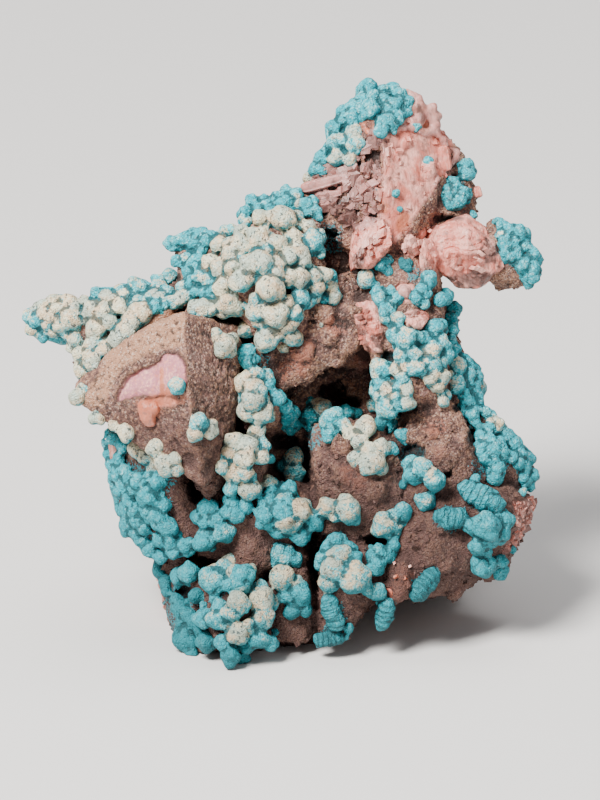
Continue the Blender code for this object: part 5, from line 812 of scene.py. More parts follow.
def new_mesh(name, points, faces, material=None, layers=None, smooth=True):
    """A mesh object from display millimetres, cut off flat at the floor, with its layers as point
    attributes."""
    rows = to_row(points)
    rows[:, 2] = np.maximum(rows[:, 2], 0)
    mesh = bpy.data.meshes.new(name)
    mesh.from_pydata(rows, [], sum((table.tolist() for table in outward_faces(rows, faces)), []))
    mesh.polygons.foreach_set("use_smooth", np.full(len(mesh.polygons), smooth))
    for layer, values in (layers or {}).items():
        made = mesh.attributes.new(layer, "FLOAT", "POINT")
        made.data.foreach_set("value", np.asarray(values, dtype=np.float32))
    mesh.materials.append(material)
    mesh.update()
    item = bpy.data.objects.new(name, mesh)
    bpy.context.scene.collection.objects.link(item)
    return item


def add_piece(slot, name, points, faces, layers, smooth=True):
    """A piece that rides on the one body and takes the material made for its slot."""
    item = new_mesh(name, points, faces, materials()[slot], layers, smooth)
    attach(item, "root")
    return item


def hull_planes(corners):
    """The outward normals and offsets of a convex hull's faces, and the middle of its corners."""
    shell = bmesh.new()
    for corner in corners:
        shell.verts.new(corner)
    bmesh.ops.convex_hull(shell, input=shell.verts)
    loose = [vert for vert in shell.verts if not vert.link_faces]
    bmesh.ops.delete(shell, geom=loose, context="VERTS")
    bmesh.ops.recalc_face_normals(shell, faces=shell.faces)
    shell.normal_update()
    normals = np.array([face.normal for face in shell.faces])
    offsets = np.array([face.normal.dot(face.verts[0].co) for face in shell.faces])
    middle = np.mean([vert.co for vert in shell.verts], axis=0)
    shell.free()
    return normals, offsets, middle


def crystal_skin(planes, directions):
    """A convex crystal's skin as a function of direction from its middle: the least of
    reach / (normal . direction) over the faces that the direction leans towards."""
    normals, offsets, middle = planes
    facing = directions @ normals.T
    reach = offsets - normals @ middle
    distance = np.where(facing > FLAT, reach / np.maximum(facing, FLAT), np.inf).min(axis=1)
    return middle + directions * distance[:, None]


def turned_by(angles):
    """Rotation matrices from rows of three angles: about the first axis, then the second, then
    the third."""
    turns = np.eye(3)
    for axis in (2, 1, 0):
        i, j = (axis + 1) % 3, (axis + 2) % 3
        sine, cosine = np.sin(angles[:, axis]), np.cos(angles[:, axis])
        about = np.tile(np.eye(3), (len(angles), 1, 1))
        about[:, i, i], about[:, i, j], about[:, j, i], about[:, j, j] = cosine, -sine, sine, cosine
        turns = turns @ about
    return turns


def rhomb_corners(centre, edge, turn):
    """The corners of one large rhomb: a cube skewed to RHOMB_ANGLE, turned about three axes."""
    turns = turned_by(turn * np.array((RHOMB_TURN,)))[0]
    return centre + edge * CUBE @ SKEW.T @ turns.T


def spread(toward, count, width):
    """Unit directions on a golden spiral, spread evenly over the cap that faces one way."""
    turn = np.array(Vector(toward).normalized().to_track_quat("Z", "Y").to_matrix())
    index = np.arange(count)
    height = 1 - width * (index + 0.5) / count
    ring = np.sqrt(1 - height * height)
    angle = index * GOLDEN_ANGLE
    return np.stack([ring * np.cos(angle), ring * np.sin(angle), height], axis=1) @ turn.T


SHELLS = {name: hull_planes(corners) for name, corners in BLOCKS.items()}
NEAR_SHELLS = [shell for name, shell in SHELLS.items() if name not in FAR_BLOCKS]


def large_rhombs():
    """The rhombs that stand half sunk in their blocks, as shells."""
    shells = []
    for name, toward, count, width, edge in DRUSE:
        centres = crystal_skin(SHELLS[name], spread(toward, count, width))
        in_window = inside_depth(WINDOW, centres[:, 0], centres[:, 1]) > -edge / 2
        for index, centre in enumerate(centres):
            if centre[2] < 0 and (in_window[index] or name in BARE_OF_RHOMBS):
                continue
            size = edge * (0.75 + 0.5 * ((index * 0.381) % 1))
            shells.append(hull_planes([Vector(c) for c in rhomb_corners(centre, size, 0.9 * index)]))
    return shells


def sight_depth(shells, u, v, margin):
    """How deep the sight line at each (u, v) meets the first shell, grown by a margin, and the
    normal of the face that it meets; infinite where it meets none."""
    depth = np.full(len(u), np.inf)
    outward = np.tile((0.0, 0.0, -1.0), (len(u), 1))
    for normals, offsets, _ in shells:
        reach = offsets + margin[:, None] - np.outer(u, normals[:, 0]) - np.outer(v, normals[:, 1])
        slope = normals[:, 2]
        front, back = slope < -FLAT, slope > FLAT
        enters = reach[:, front] / slope[front]
        enter = enters.max(axis=1)
        leave = (reach[:, back] / slope[back]).min(axis=1)
        beside = (reach[:, ~front & ~back] < 0).any(axis=1)
        meets = (enter < leave) & ~beside & (enter < depth)
        depth[meets] = enter[meets]
        outward[meets] = normals[front][enters.argmax(axis=1)[meets]]
    return depth, outward


def seat_lumps(spots):
    """The centres of lumps seen at (u, v), on the first block that each sight line meets, or as
    deep as the blocks come closest to it, and the way that the block faces there."""
    u, v, radius = spots.T
    depth, outward = sight_depth(NEAR_SHELLS, u, v, GRIP * radius)
    missed = np.isinf(depth)
    levels = np.arange(*DEPTH_RANGE)
    line = np.stack(np.broadcast_arrays(u[missed, None], v[missed, None], levels), axis=-1)
    gaps = [(line @ normals.T - offsets).max(axis=-1) for normals, offsets, _ in NEAR_SHELLS]
    depth[missed] = levels[np.min(gaps, axis=0).argmin(axis=1)]
    return np.stack([u, v, depth + (GRIP - LUMP_SEAT) * radius], axis=1), outward


def hidden_lumps():
    """The lumps of the back and sides as rows, 1.2 to 2 mm in radius."""
    rows = []
    for name, toward, count, width in HIDDEN_LUMPS:
        directions = spread(toward, count, width)
        centres = crystal_skin(SHELLS[name], directions)
        radii = 1.2 + 0.8 * ((np.arange(count) * 0.618) % 1)
        cream = 0.1 + 0.5 * (soft_noise(centres, 9.0, 91) > 0.15)
        rows.append(np.column_stack([centres, directions, radii, cream, np.zeros((count, 4))]))
    return np.vstack(rows)


def random_turns(count, random):
    """Evenly random rotation matrices, from random unit quaternions (s, x, y, z)."""
    q = random.normal(size=(count, 4))
    s, x, y, z = (q / np.linalg.norm(q, axis=1)[:, None]).T
    rows = (
        (1 - 2 * (y * y + z * z), 2 * (x * y - s * z), 2 * (x * z + s * y)),
        (2 * (x * y + s * z), 1 - 2 * (x * x + z * z), 2 * (y * z - s * x)),
        (2 * (x * z - s * y), 2 * (y * z + s * x), 1 - 2 * (x * x + y * y)),
    )
    return np.moveaxis(np.array(rows), -1, 0)


def rhomb_cloud(centres, edges, turns):
    """Small rhombs: a cube's corners skewed to RHOMB_ANGLE, times each one's three edge lengths,
    turned and placed."""
    cube = CUBE @ SKEW.T
    points = centres[:, None] + np.einsum("nij,nmj->nmi", turns, cube * edges[:, None])
    return points.reshape(-1, 3), (repeat_faces(CUBE_QUADS, len(centres), len(CUBE)),)


def inside_depth(outline, u, v):
    """How far inside an outline each (u, v) lies, negative outside: the distance to the nearest
    edge, signed by whether a line to the right crosses the outline an odd number of times."""
    start = np.array(outline)
    edge = np.roll(start, -1, axis=0) - start
    place = np.stack([u, v], axis=-1)[:, None]
    along = np.clip(((place - start) * edge).sum(-1) / (edge * edge).sum(-1), 0, 1)
    gap = np.linalg.norm(place - start - along[..., None] * edge, axis=-1).min(axis=1)
    height = place[..., 1] - start[:, 1]
    spans = (height < 0) != (height < edge[:, 1])
    rise = np.where(edge[:, 1] == 0, 1.0, edge[:, 1])
    crosses = spans & (place[..., 0] < start[:, 0] + edge[:, 0] * height / rise)
    return np.where(crosses.sum(axis=1) % 2 == 1, gap, -gap)


def spot_mask(spots, u, v, wander):
    """1 inside any of the ellipses and 0 outside, over a soft edge that wanders."""
    mask = np.zeros(len(u))
    for middle_u, middle_v, half_width, half_height in spots:
        away = np.hypot((u - middle_u) / half_width, (v - middle_v) / half_height) + wander
        mask = np.maximum(mask, ease(away, 1.25, 0.8))
    return mask


class Lumps:
    """The lumps of the coat. A row holds a lump's centre, outward direction and radius, how cream
    and how shaded it is, and the line that its ribs cross."""

    def __init__(self):
        random = np.random.default_rng(7)
        spots = np.array([(*spot, *marks) for table, *marks in COATS for spot in table])
        shown, outward = seat_lumps(spots[:, :3])
        radii, marks = spots[:, 2] * spots[:, 3], spots[:, 4:]
        shown = np.column_stack([shown, outward, radii, marks, np.zeros_like(shown)])
        hidden = hidden_lumps()
        rows = np.vstack([shown, ribbed_lumps(), hidden])
        centres, outward, lines = rows[:, :3], rows[:, 3:6], rows[:, 9:]
        radii, cream, shade = rows[:, 6:9].T
        low = ease(centres[:, 1], *LOW_FACE)
        cream = cream + random.uniform(-0.1, 0.1, len(rows)) - LOW_CREAM_LOSS * low
        # Painted shade: lumps low on the face are shaded.
        shade = np.maximum(shade, LOW_SHADE * low)
        patch = 1 + np.searchsorted(PATCH_EDGES, centres[:, 0])
        patch[-len(hidden):] = 0
        small, small_radii, owner = creeping_lumps(centres, outward, radii, cream, random)
        self.centres = np.vstack([centres, small])
        self.outward = np.vstack([outward, outward[owner]])
        self.radii = np.concatenate([radii, small_radii])
        self.cream = np.clip(np.concatenate([cream, cream[owner] * 0.7 - 0.05]), 0, 1)
        self.shade = np.concatenate([shade, np.maximum(shade[owner], 0.1)])
        self.lines = np.vstack([lines, np.zeros((len(small), 3))])
        self.patch = np.concatenate([patch, patch[owner]])
        self.smooth = random.uniform(0, 1, len(self.radii)) ** 1.5
        self.tone = random.uniform(0, 1, len(self.radii))
        self.main = np.arange(len(self.radii)) < len(rows)

    def at(self, points, chosen=slice(None)):
        """What the chosen lumps give each point. A lump's share is exp(-gap / SHARE_REACH) over
        the sum of all; shares mix the lumps' own marks, and the nearest lump's rivals are the sum
        of the others' pulls. How far turquoise lumps, and all lumps, crowd the point is the sum of
        exp(-gap / CROWD_REACH)."""
        marks = np.column_stack([self.cream, self.shade, self.tone, self.lines])[chosen]
        marks = marks.astype(np.float32)
        centres = self.centres[chosen].astype(np.float32)
        radii = self.radii[chosen].astype(np.float32)
        fresh = np.column_stack([1 - marks[:, 0], np.ones(len(marks), np.float32)])
        found = []
        for part in np.array_split(points.astype(np.float32), 1 + len(points) // 2000):
            squares = (part**2).sum(axis=1)[:, None] + (centres**2).sum(axis=1)
            gap = np.sqrt(np.maximum(squares - 2 * part @ centres.T, 0)) - radii
            pull = np.exp((gap.min(axis=1, keepdims=True) - gap) / np.float32(SHARE_REACH))
            crowd = np.exp(-np.maximum(gap, 0) / np.float32(CROWD_REACH))
            total = pull.sum(axis=1, keepdims=True)
            found.append(np.hstack([pull @ marks / total, total - 1, crowd @ fresh]))
        return np.vstack(found)


def ribbed_lumps():
    """Worm-shaped lumps, each as rows of balls from end to end."""
    rows = []
    for first, last, radius, shade in RIBBED_LUMPS:
        ends, outward = seat_lumps(np.array([(*first, radius), (*last, radius)]))
        ends[:, 2] = np.minimum(ends[:, 2], ends[:, 2].min() + RIBBED_SLANT)
        length = np.linalg.norm(ends[1] - ends[0])
        share = np.linspace(0, 1, 2 + int(length / (0.5 * radius)))[:, None]
        line = (ends[1] - ends[0]) / length
        place = ends[0] + (ends[1] - ends[0]) * share
        size = radius * (1 - RIBBED_TAPER * np.abs(2 * share - 1) ** 3)
        marks = np.ones_like(share) * (RIBBED_CREAM, shade, *line)
        rows.append(np.hstack([place, outward[0] + 0 * place, size, marks]))
    return np.vstack(rows)


def creeping_lumps(centres, outward, radii, cream, random):
    """Small lumps round the foot of larger ones, at an angle round the outward direction and 0.85
    to 1.15 radii out. They stay where they fill a gap between two lumps, and a few of the
    turquoise ones stay everywhere."""
    count, each = len(centres), 5
    guide = np.where(np.abs(outward[:, :1]) < 0.7, ((1.0, 0.0, 0.0),), ((0.0, 1.0, 0.0),))
    side = np.cross(outward, guide)
    side /= np.linalg.norm(side, axis=1)[:, None]
    other = np.cross(outward, side)
    owner = np.repeat(np.arange(count), each)
    angle = np.tile(np.arange(each), count) * 2 * math.pi / each + random.uniform(0, 0.6, len(owner))
    angle += owner * GOLDEN_ANGLE
    out = np.cos(angle)[:, None] * side[owner] + np.sin(angle)[:, None] * other[owner]
    away = radii[owner] * random.uniform(0.85, 1.15, len(owner))
    sunk = radii[owner] * random.uniform(0.3, 0.6, len(owner))
    places = centres[owner] + out * away[:, None] - outward[owner] * sunk[:, None]
    sizes = radii[owner] * random.uniform(0.34, 0.6, len(owner))
    gaps = np.linalg.norm(places[:, None] - centres[None], axis=-1) - radii[None]
    gaps[np.arange(len(places)), owner] = np.inf
    gap = gaps.min(axis=1)
    free = gap > -0.4 * sizes
    fills = (gap < 0.2) & (places[:, 1] > LOW_FACE[0])
    creeps = (cream[owner] < 0.3) & (random.uniform(0, 1, len(owner)) < 0.1)
    stays = free & (fills | creeps) & (sizes > 0.28)
    return places[stays], sizes[stays], owner[stays]


LUMPS = Lumps()


def hollow_spots(points):
    """The small hollows of the display side, 1 in their middles, over edges that wander."""
    u, v, w = points.T
    wander = 0.18 * soft_noise(points, 1.1, 21) + 0.1 * soft_noise(points, 0.5, 22)
    return spot_mask(SPOTS["hollow"], u, v, wander) * ease(w, 6.5, 4.0)


def paint(points):
    """The coloured places on a piece, from 0 to 1: pink, tan, stained, lilac and teal, with painted
    shade in the hollows and low on the face. The display side has its own, with edges that wander
    by soft noise. Teal also spreads where turquoise lumps crowd a place, and painted shade darkens
    the place where any lumps crowd it."""
    u, v, w = points.T
    wander = 0.3 * soft_noise(points, 1.1, 21) + 0.15 * soft_noise(points, 0.5, 22)
    shown = ease(w, 7.5, 5.0)
    pink = spot_mask(SPOTS["pink"], u, v, wander)
    for outline in PINK_OUTLINES:
        pink = np.maximum(pink, ease(inside_depth(outline, u, v) + wander, -0.2, 0.4))
    back_pink = ease(soft_noise(points, 4.0, 23) + 0.4 * soft_noise(points, 1.2, 24), 0.35, 0.6)
    fresh, crowd = LUMPS.at(points, LUMPS.main)[:, -2:].T
    teal = spot_mask(SPOTS["teal"], u, v, wander) * shown
    return {
        "pink": np.where(w > 6.5, 0.7 * back_pink, pink * shown),
        "tan": ease(inside_depth(TAN_FACE, u, v) + 0.6 * wander, -0.2, 0.3) * shown,
        "stain": spot_mask(SPOTS["stain"], u, v, wander) * shown,
        # Painted shade: dark in the small hollows, and where lumps crowd a place.
        "hollow": np.maximum(hollow_spots(points), 0.6 * ease(crowd, 1.3, 2.6)),
        "lilac": ease(inside_depth(CRUMBLED, u, v) + wander, -0.2, 0.4) * shown,
        "teal": np.maximum(0.8 * teal, ease(fresh + 0.5 * wander, 1.4, 2.2)),
        # Painted shade, darker towards the bottom of the face.
        "low": ease(v + 4 * wander, *LOW_CRUST) * shown,
    }


def merged(points, faces, voxel, cutters=()):
    """One closed skin round all the closed surfaces given, by a voxel remesh, less the cutters:
    its points and point normals in display millimetres, and its triangles."""
    raw = new_mesh("surfaces to merge", points, faces)
    remesh = raw.modifiers.new("grown together", "REMESH")
    remesh.mode = "VOXEL"
    remesh.voxel_size = voxel
    for cutter in cutters:
        cut = raw.modifiers.new(cutter.name, "BOOLEAN")
        cut.operation = "DIFFERENCE"
        cut.object = cutter
    rows, faces, normals = finished_arrays(raw)
    for item in (raw, *cutters):
        bpy.data.objects.remove(item)
    return to_display(rows), faces, normals @ TO_ROW


def merged_blocks(shells, voxel):
    """The blocks' hulls as surfaces of directions from their middles, merged, less the pits."""
    directions = ball(*BLOCK_RINGS)
    points = np.vstack([crystal_skin(shell, directions) for shell in shells])
    cutters = []
    for name, corners in PITS.items():
        skin = crystal_skin(hull_planes(corners), ball(*PIT_RINGS))
        cutters.append(new_mesh(f"{name} cutter", skin, ball_faces(*PIT_RINGS)))
    return merged(points, ball_faces(*BLOCK_RINGS, len(shells)), voxel, cutters)


def finished_arrays(item):
    """The points, triangles and point normals of an object with its modifiers applied."""
    graph = bpy.context.evaluated_depsgraph_get()
    mesh = bpy.data.meshes.new_from_object(item.evaluated_get(graph))
    mesh.calc_loop_triangles()
    found = []
    for items, field, kind in (
        (mesh.vertices, "co", float), (mesh.loop_triangles, "vertices", np.int64),
        (mesh.vertex_normals, "vector", float),
    ):
        values = np.empty(len(items) * 3, dtype=kind)
        items.foreach_get(field, values)
        found.append(values.reshape(-1, 3))
    bpy.data.meshes.remove(mesh)
    return found


def relaxed(points, faces, rounds):
    """The points, each moved a number of times to the mean of the points that it shares a side of
    a face with."""
    start = faces.ravel()
    end = np.roll(faces, -1, axis=1).ravel()
    count = np.bincount(start, minlength=len(points))[:, None]
    for _ in range(rounds):
        sums = [np.bincount(start, weights=axis[end], minlength=len(points)) for axis in points.T]
        points = np.where(count > 0, np.stack(sums, axis=-1) / np.maximum(count, 1), points)
    return points


def cavity(points, faces, normals, rounds):
    """How far below its relaxed surface each point lies, in millimetres: above 0 in a groove, and
    below 0 on a crest."""
    return ((relaxed(points, faces, rounds) - points) * normals).sum(axis=1)


def lobed_lumps(chosen, seed):
    """Each lump as a function of direction from its middle. It is the farthest that the direction
    reaches in any of its lobes, balls with their centres c off its middle:
    d . c + sqrt(r * r - c . c + (d . c) ** 2), and no less than its core. A slow swell makes it
    less round, and its foot is cut off flat inside the crust."""
    random = np.random.default_rng(seed)
    index = np.flatnonzero(chosen)
    centres, radii, smooth = LUMPS.centres[index], LUMPS.radii[index], LUMPS.smooth[index]
    count, lobes = len(index), LOBES
    directions = ball(*LUMP_RINGS)
    turns = random_turns(count, random)
    turned = np.einsum("nij,mj->nmi", turns, directions)
    ways = np.einsum("nij,kj->nki", turns, spread((0.0, 0.0, 1.0), lobes, 2.0))
    ways = ways + random.normal(0, 0.3, ways.shape)
    ways /= np.linalg.norm(ways, axis=-1)[..., None]
    out = radii[:, None] * (random.uniform(0.5, 0.66, (count, lobes)) - 0.16 * smooth[:, None])
    sizes = radii[:, None] * (random.uniform(0.42, 0.56, (count, lobes)) + 0.1 * smooth[:, None])
    along = np.einsum("nmi,nki->nmk", turned, ways) * out[:, None]
    under = (sizes**2 - out**2)[:, None] + along**2
    reach = np.where(under > 0, along + np.sqrt(np.maximum(under, 0)), 0).max(axis=-1)
    reach = np.maximum(reach, (0.82 + 0.08 * smooth[:, None]) * radii[:, None])
    local = turned * radii[:, None, None] + random.uniform(0, 90, (count, 1, 3))
    reach = reach * (1 + 0.07 * soft_noise(local, 1.2, 111))
    inward = -np.einsum("nmi,ni->nm", turned, LUMPS.outward[index])
    reach = np.minimum(reach, FOOT * radii[:, None] / np.maximum(inward, FLAT))
    points = centres[:, None] + turned * reach[..., None]
    return points.reshape(-1, 3), ball_faces(*LUMP_RINGS, count)


def chipped(shell, directions, random):
    """A crystal's skin with its corners and edges knocked off flat, by planes that stand a chip's
    depth inside its farthest point in chance directions."""
    normals, offsets, middle = shell
    skin = crystal_skin(shell, directions)
    ways = random.normal(size=(CHIPS, 3))
    ways /= np.linalg.norm(ways, axis=1)[:, None]
    cuts = (skin @ ways.T).max(axis=0) - random.uniform(*CHIP_DEPTH, CHIPS)
    chips = np.vstack([normals, ways]), np.concatenate([offsets, cuts]), middle
    return crystal_skin(chips, directions)


def block_gap(points):
    """How far each point lies outside the nearest block, below 0 inside it."""
    gap = np.full(len(points), np.inf)
    for normals, offsets, _ in SHELLS.values():
        gap = np.minimum(gap, (points @ normals.T - offsets).max(axis=1))
    return gap


def crust_relief(points, roughness):
    """The height of the sugary crust: grains of two sizes as small domes, broken steps where soft
    noise is cut into levels, and a slow swell."""
    coarse, _ = grains(points, 0.95, 31)
    fine, _ = grains(points, 0.5, 41)
    steps = np.floor(3.5 * soft_noise(points, 2.4, 51)) / 3.5
    swell = soft_noise(points, 5.0, 61)
    return roughness * (
        0.24 * (0.6 - coarse) + 0.16 * (0.6 - fine) + 0.3 * steps + 0.2 * swell
    )


def cleavage_relief(points, depth):
    """The height of broken calcite: flat steps, cut from noise stretched along the crystal."""
    stretched = points * np.array((1.0, 0.55, 1.0))
    broad = np.floor(4 * soft_noise(stretched, 2.6, 71)) / 4
    narrow = np.floor(3 * soft_noise(stretched, 0.9, 81)) / 3
    return depth * (0.7 * broad + 0.3 * narrow)


class Reading:
    """A value that changes over the surface, held as a node's socket. Sums, differences, products,
    quotients and smooth steps of it are further nodes of its tree."""

    def __init__(self, socket):
        self.socket = socket
        self.tree = socket.id_data

    def __add__(self, other):
        return maths(self.tree, "ADD", self, other)

    def __sub__(self, other):
        return maths(self.tree, "SUBTRACT", self, other)

    def __rsub__(self, other):
        return maths(self.tree, "SUBTRACT", other, self)

    def __mul__(self, other):
        return maths(self.tree, "MULTIPLY", self, other)

    def __rtruediv__(self, other):
        return maths(self.tree, "DIVIDE", other, self)

    def most(self, other):
        """The larger of this value and the other."""
        return maths(self.tree, "MAXIMUM", self, other)

    def step(self, low, high):
        """The value carried from low..high to 0..1 over a smooth step."""
        inputs = {"Value": self, "From Min": low, "From Max": high}
        made = put(self.tree, "ShaderNodeMapRange", inputs, interpolation_type="SMOOTHSTEP")
        return Reading(made.outputs["Result"])


def feed(node, inputs):
    """Gives a node its inputs, by name or number, as values, colours or sockets to link."""
    for name, value in inputs.items():
        socket = node.inputs[name]
        value = getattr(value, "socket", value)
        if isinstance(value, bpy.types.NodeSocket):
            node.id_data.links.new(value, socket)
        elif socket.type == "RGBA":
            socket.default_value = (*value[:3], 1.0)
        else:
            socket.default_value = value


def put(tree, kind, inputs=None, **settings):
    """A shader node with its settings and inputs."""
    made = tree.nodes.new(kind)
    for name, value in settings.items():
        setattr(made, name, value)
    feed(made, inputs or {})
    return made


def maths(tree, operation, first, second=0.0, clamp=False):
    """A Math node on two values."""
    made = put(tree, "ShaderNodeMath", {0: first, 1: second}, operation=operation, use_clamp=clamp)
    return Reading(made.outputs[0])


class Look:
    """The nodes of one material or node group."""

    def __init__(self, tree):
        self.tree = tree
        self.place = put(tree, "ShaderNodeTexCoord").outputs["Object"]

    def layer(self, name):
        """A point attribute of the piece."""
        return Reading(put(self.tree, "ShaderNodeAttribute", attribute_name=name).outputs["Fac"])

    def noise(self, scale, detail=2.0, roughness=0.5, place=None):
        """Noise on the object's own coordinates, or on another place."""
        place = self.place if place is None else place
        inputs = {"Vector": place, "Scale": scale, "Detail": detail, "Roughness": roughness}
        return Reading(put(self.tree, "ShaderNodeTexNoise", inputs).outputs["Fac"])

    def cells(self, size, feature, place):
        """Scattered cells of a size in millimetres."""
        inputs = {"Vector": place, "Scale": 1000.0 / size}
        return put(self.tree, "ShaderNodeTexVoronoi", inputs, feature=feature).outputs

    def group(self, shared, **inputs):
        """The outputs of a shared node group, placed with its own values."""
        made = put(self.tree, "ShaderNodeGroup", inputs, node_tree=shared)
        return {socket.name: Reading(socket) for socket in made.outputs}

    def blend(self, share, first, second, way="MIX"):
        """A colour mixed from the first to the second by a share."""
        inputs = {0: share, 6: first, 7: second}
        mix = put(self.tree, "ShaderNodeMix", inputs, data_type="RGBA", blend_type=way)
        return Reading(mix.outputs[2])

    def cover(self, base, *coats):
        """A base colour under coats, each given as its share and its colour."""
        for share, colour in coats:
            base = self.blend(share, base, colour)
        return base

    def finish(self, base, roughness, height, depth):
        """The material's Principled shader, given a colour, a roughness and a bumped normal."""
        bump = put(self.tree, "ShaderNodeBump", {"Height": height, "Distance": depth, "Strength": 1.0})
        shader = self.tree.nodes["Principled BSDF"]
        feed(shader, {"Base Color": base, "Roughness": roughness, "Normal": bump.outputs["Normal"]})
        return shader


def new_material(name):
    """A new material and its look."""
    material = bpy.data.materials.new(name)
    material.use_nodes = True
    return material, Look(material.node_tree)


def start_group(name, numbers, colours, outputs):
    """A new node group with its sockets: its look and the values that go in."""
    tree = bpy.data.node_groups.new(name, "ShaderNodeTree")
    for title, default in numbers.items():
        socket = tree.interface.new_socket(title, in_out="INPUT", socket_type="NodeSocketFloat")
        socket.default_value = default
    for title in colours:
        tree.interface.new_socket(title, in_out="INPUT", socket_type="NodeSocketColor")
    for title in outputs:
        kind = "NodeSocketColor" if title == "Color" else "NodeSocketFloat"
        tree.interface.new_socket(title, in_out="OUTPUT", socket_type=kind)
    given = tree.nodes.new("NodeGroupInput").outputs
    return Look(tree), {title: Reading(given[title]) for title in (*numbers, *colours)}


def grain_group():
    """Crystal grains of a size in millimetres: a tone for each grain and a domed height, from
    scattered cells on the object's own coordinates, with finer noise on top."""
    look, given = start_group("mineral grains", {"Size": 0.5, "Fine": 0.3}, (), ("Tone", "Height"))
    cells = look.cells(given["Size"], "F1", look.place)
    tone = put(look.tree, "ShaderNodeSeparateColor", {"Color": cells["Color"]}).outputs["Red"]
    rough = look.noise((1000.0 / given["Size"]) * 1.7, 3.0) * given["Fine"]
    dome = 1.0 - Reading(cells["Distance"])
    put(look.tree, "NodeGroupOutput", {"Tone": tone, "Height": dome + rough})
    return look.tree


def calcite_group(grain):
    """Pink calcite: pale and deeper pink in clouds, white streaks along the cleavage, and orange
    iron stain where the mask has it."""
    look, given = start_group(
        "pink calcite look", {"Stain": 0.0}, ("Pink", "White", "Orange"), ("Color", "Height")
    )
    stretch = {"Vector": look.place, "Rotation": (0.4, 0.5, 0.3), "Scale": (1.0, 1.0, 0.22)}
    along = put(look.tree, "ShaderNodeMapping", stretch).outputs["Vector"]
    streaks, clouds = look.noise(2100.0, 4.0, place=along), look.noise(420.0, 3.0)
    base = look.cover(
        given["Pink"],
        (clouds.step(0.35, 0.68), given["White"]),
        (streaks.step(0.52, 0.75), given["White"]),
        (streaks.step(0.48, 0.32) * 0.55, CLEAVAGE_SHADE),
        ((clouds.step(0.57, 0.36) * 0.24).most(given["Stain"] * 0.85), given["Orange"]),
    )
    height = streaks + look.group(grain, Size=0.7)["Tone"] * 0.35
    put(look.tree, "NodeGroupOutput", {"Color": base, "Height": height})
    return look.tree


def crackle_group():
    """A coat's skin of tiny domed cells: how near each point is to a line between cells, broken
    here and there by noise, and the cells' height. Coloured noise puts the cells out of round."""
    look, given = start_group("crackled coat", {"Size": 0.4, "Width": 0.1}, (), ("Line", "Height"))
    inputs = {"Vector": look.place, "Scale": 2600.0, "Detail": 1.0}
    bend = put(look.tree, "ShaderNodeTexNoise", inputs).outputs["Color"]
    inputs = {0: bend, 1: (0.0004, 0.0004, 0.0004), 2: look.place}
    bent = put(look.tree, "ShaderNodeVectorMath", inputs, operation="MULTIPLY_ADD").outputs["Vector"]
    cells = Reading(look.cells(given["Size"], "DISTANCE_TO_EDGE", bent)["Distance"])
    line = cells.step(given["Width"], 0.0) * look.noise(1500.0, place=bent).step(0.38, 0.58)
    put(look.tree, "NodeGroupOutput", {"Line": line, "Height": cells.step(0.0, 0.4)})
    return look.tree


def calcite_look(look, calcite, colours):
    """The calcite look placed in a material with its own colours."""
    return look.group(
        calcite, Pink=colours.pink, White=colours.white, Orange=colours.orange,
        Stain=look.layer("stain"),
    )


def crust_material(scene, grain, calcite):
    """Brown iron-stained crust, tan on one face, with painted light on its crests, painted shade in
    its cavities and low on the face, and painted glints on its brightest grains. It has pink
    calcite where the crust is off, teal where the coating spreads over it, and painted shade,
    near black, in the hollows."""
    crust = scene.specimen_matrix
    material, look = new_material("iron stained crust")
    coarse = look.group(grain, Size=0.42, Fine=0.6)
    fine = look.group(grain, Size=0.17, Fine=0.8)
    clouds, sugar = look.noise(300.0, 5.0), look.noise(3300.0, 4.0)
    names = ("cavity", "tan", "stain", "pink", "teal")
    depth, tan, stain, pink, coated = (look.layer(name) for name in names)
    crest = sugar - depth * 0.12
    bare = calcite_look(look, calcite, scene.specimen_calcite)
    lilac = maths(look.tree, "SUBTRACT", look.layer("lilac"), stain, clamp=True)
    lilac = lilac * sugar.step(0.7, 0.45) * 0.85
    base = look.cover(
        crust.brown,
        (clouds.step(0.36, 0.64), crust.mauve),
        (tan * 0.85, crust.tan),
        # Painted light: crests, from the sugar noise less the cavity depth, turn tan.
        (crest.step(0.5, 0.68) * 0.58, crust.tan),
        # Painted glints on the brightest grains.
        (fine["Tone"].step(0.76, 0.98) * (tan * 0.35 + 0.5), crust.grain),
        # Painted shade: grooves and the lowest grains turn to the shadow colour.
        (crest.step(0.46, 0.31) * 0.56, crust.shadow),
        ((stain * crest.step(0.36, 0.6) * 0.55).most(clouds.step(0.56, 0.75) * 0.3), crust.rust),
        (pink, look.blend(lilac, bare["Color"], scene.specimen_calcite.lilac)),
        # Painted shade: the cavities are darkened.
        (depth.step(0.25, 1.0) * 0.7, crust.shadow),
        # Painted shade: darker low on the face.
        (look.layer("low") * 0.8, crust.low_painted_shade),
        ((sugar + coated * 0.26).step(0.68, 0.74) * 0.85 * coated.step(0.02, 0.2), crust.teal),
    )
    # Painted shade: the hollows are multiplied towards the shadow colour.
    base = look.blend(look.layer("hollow") * 0.9, base, crust.shadow, "MULTIPLY")
    height = (coarse["Height"] + fine["Height"] + sugar * 1.6) * (1.2 - pink) + bare["Height"]
    look.finish(base, 0.75 - pink * 0.3, height, CRUST_BUMP)
    return material


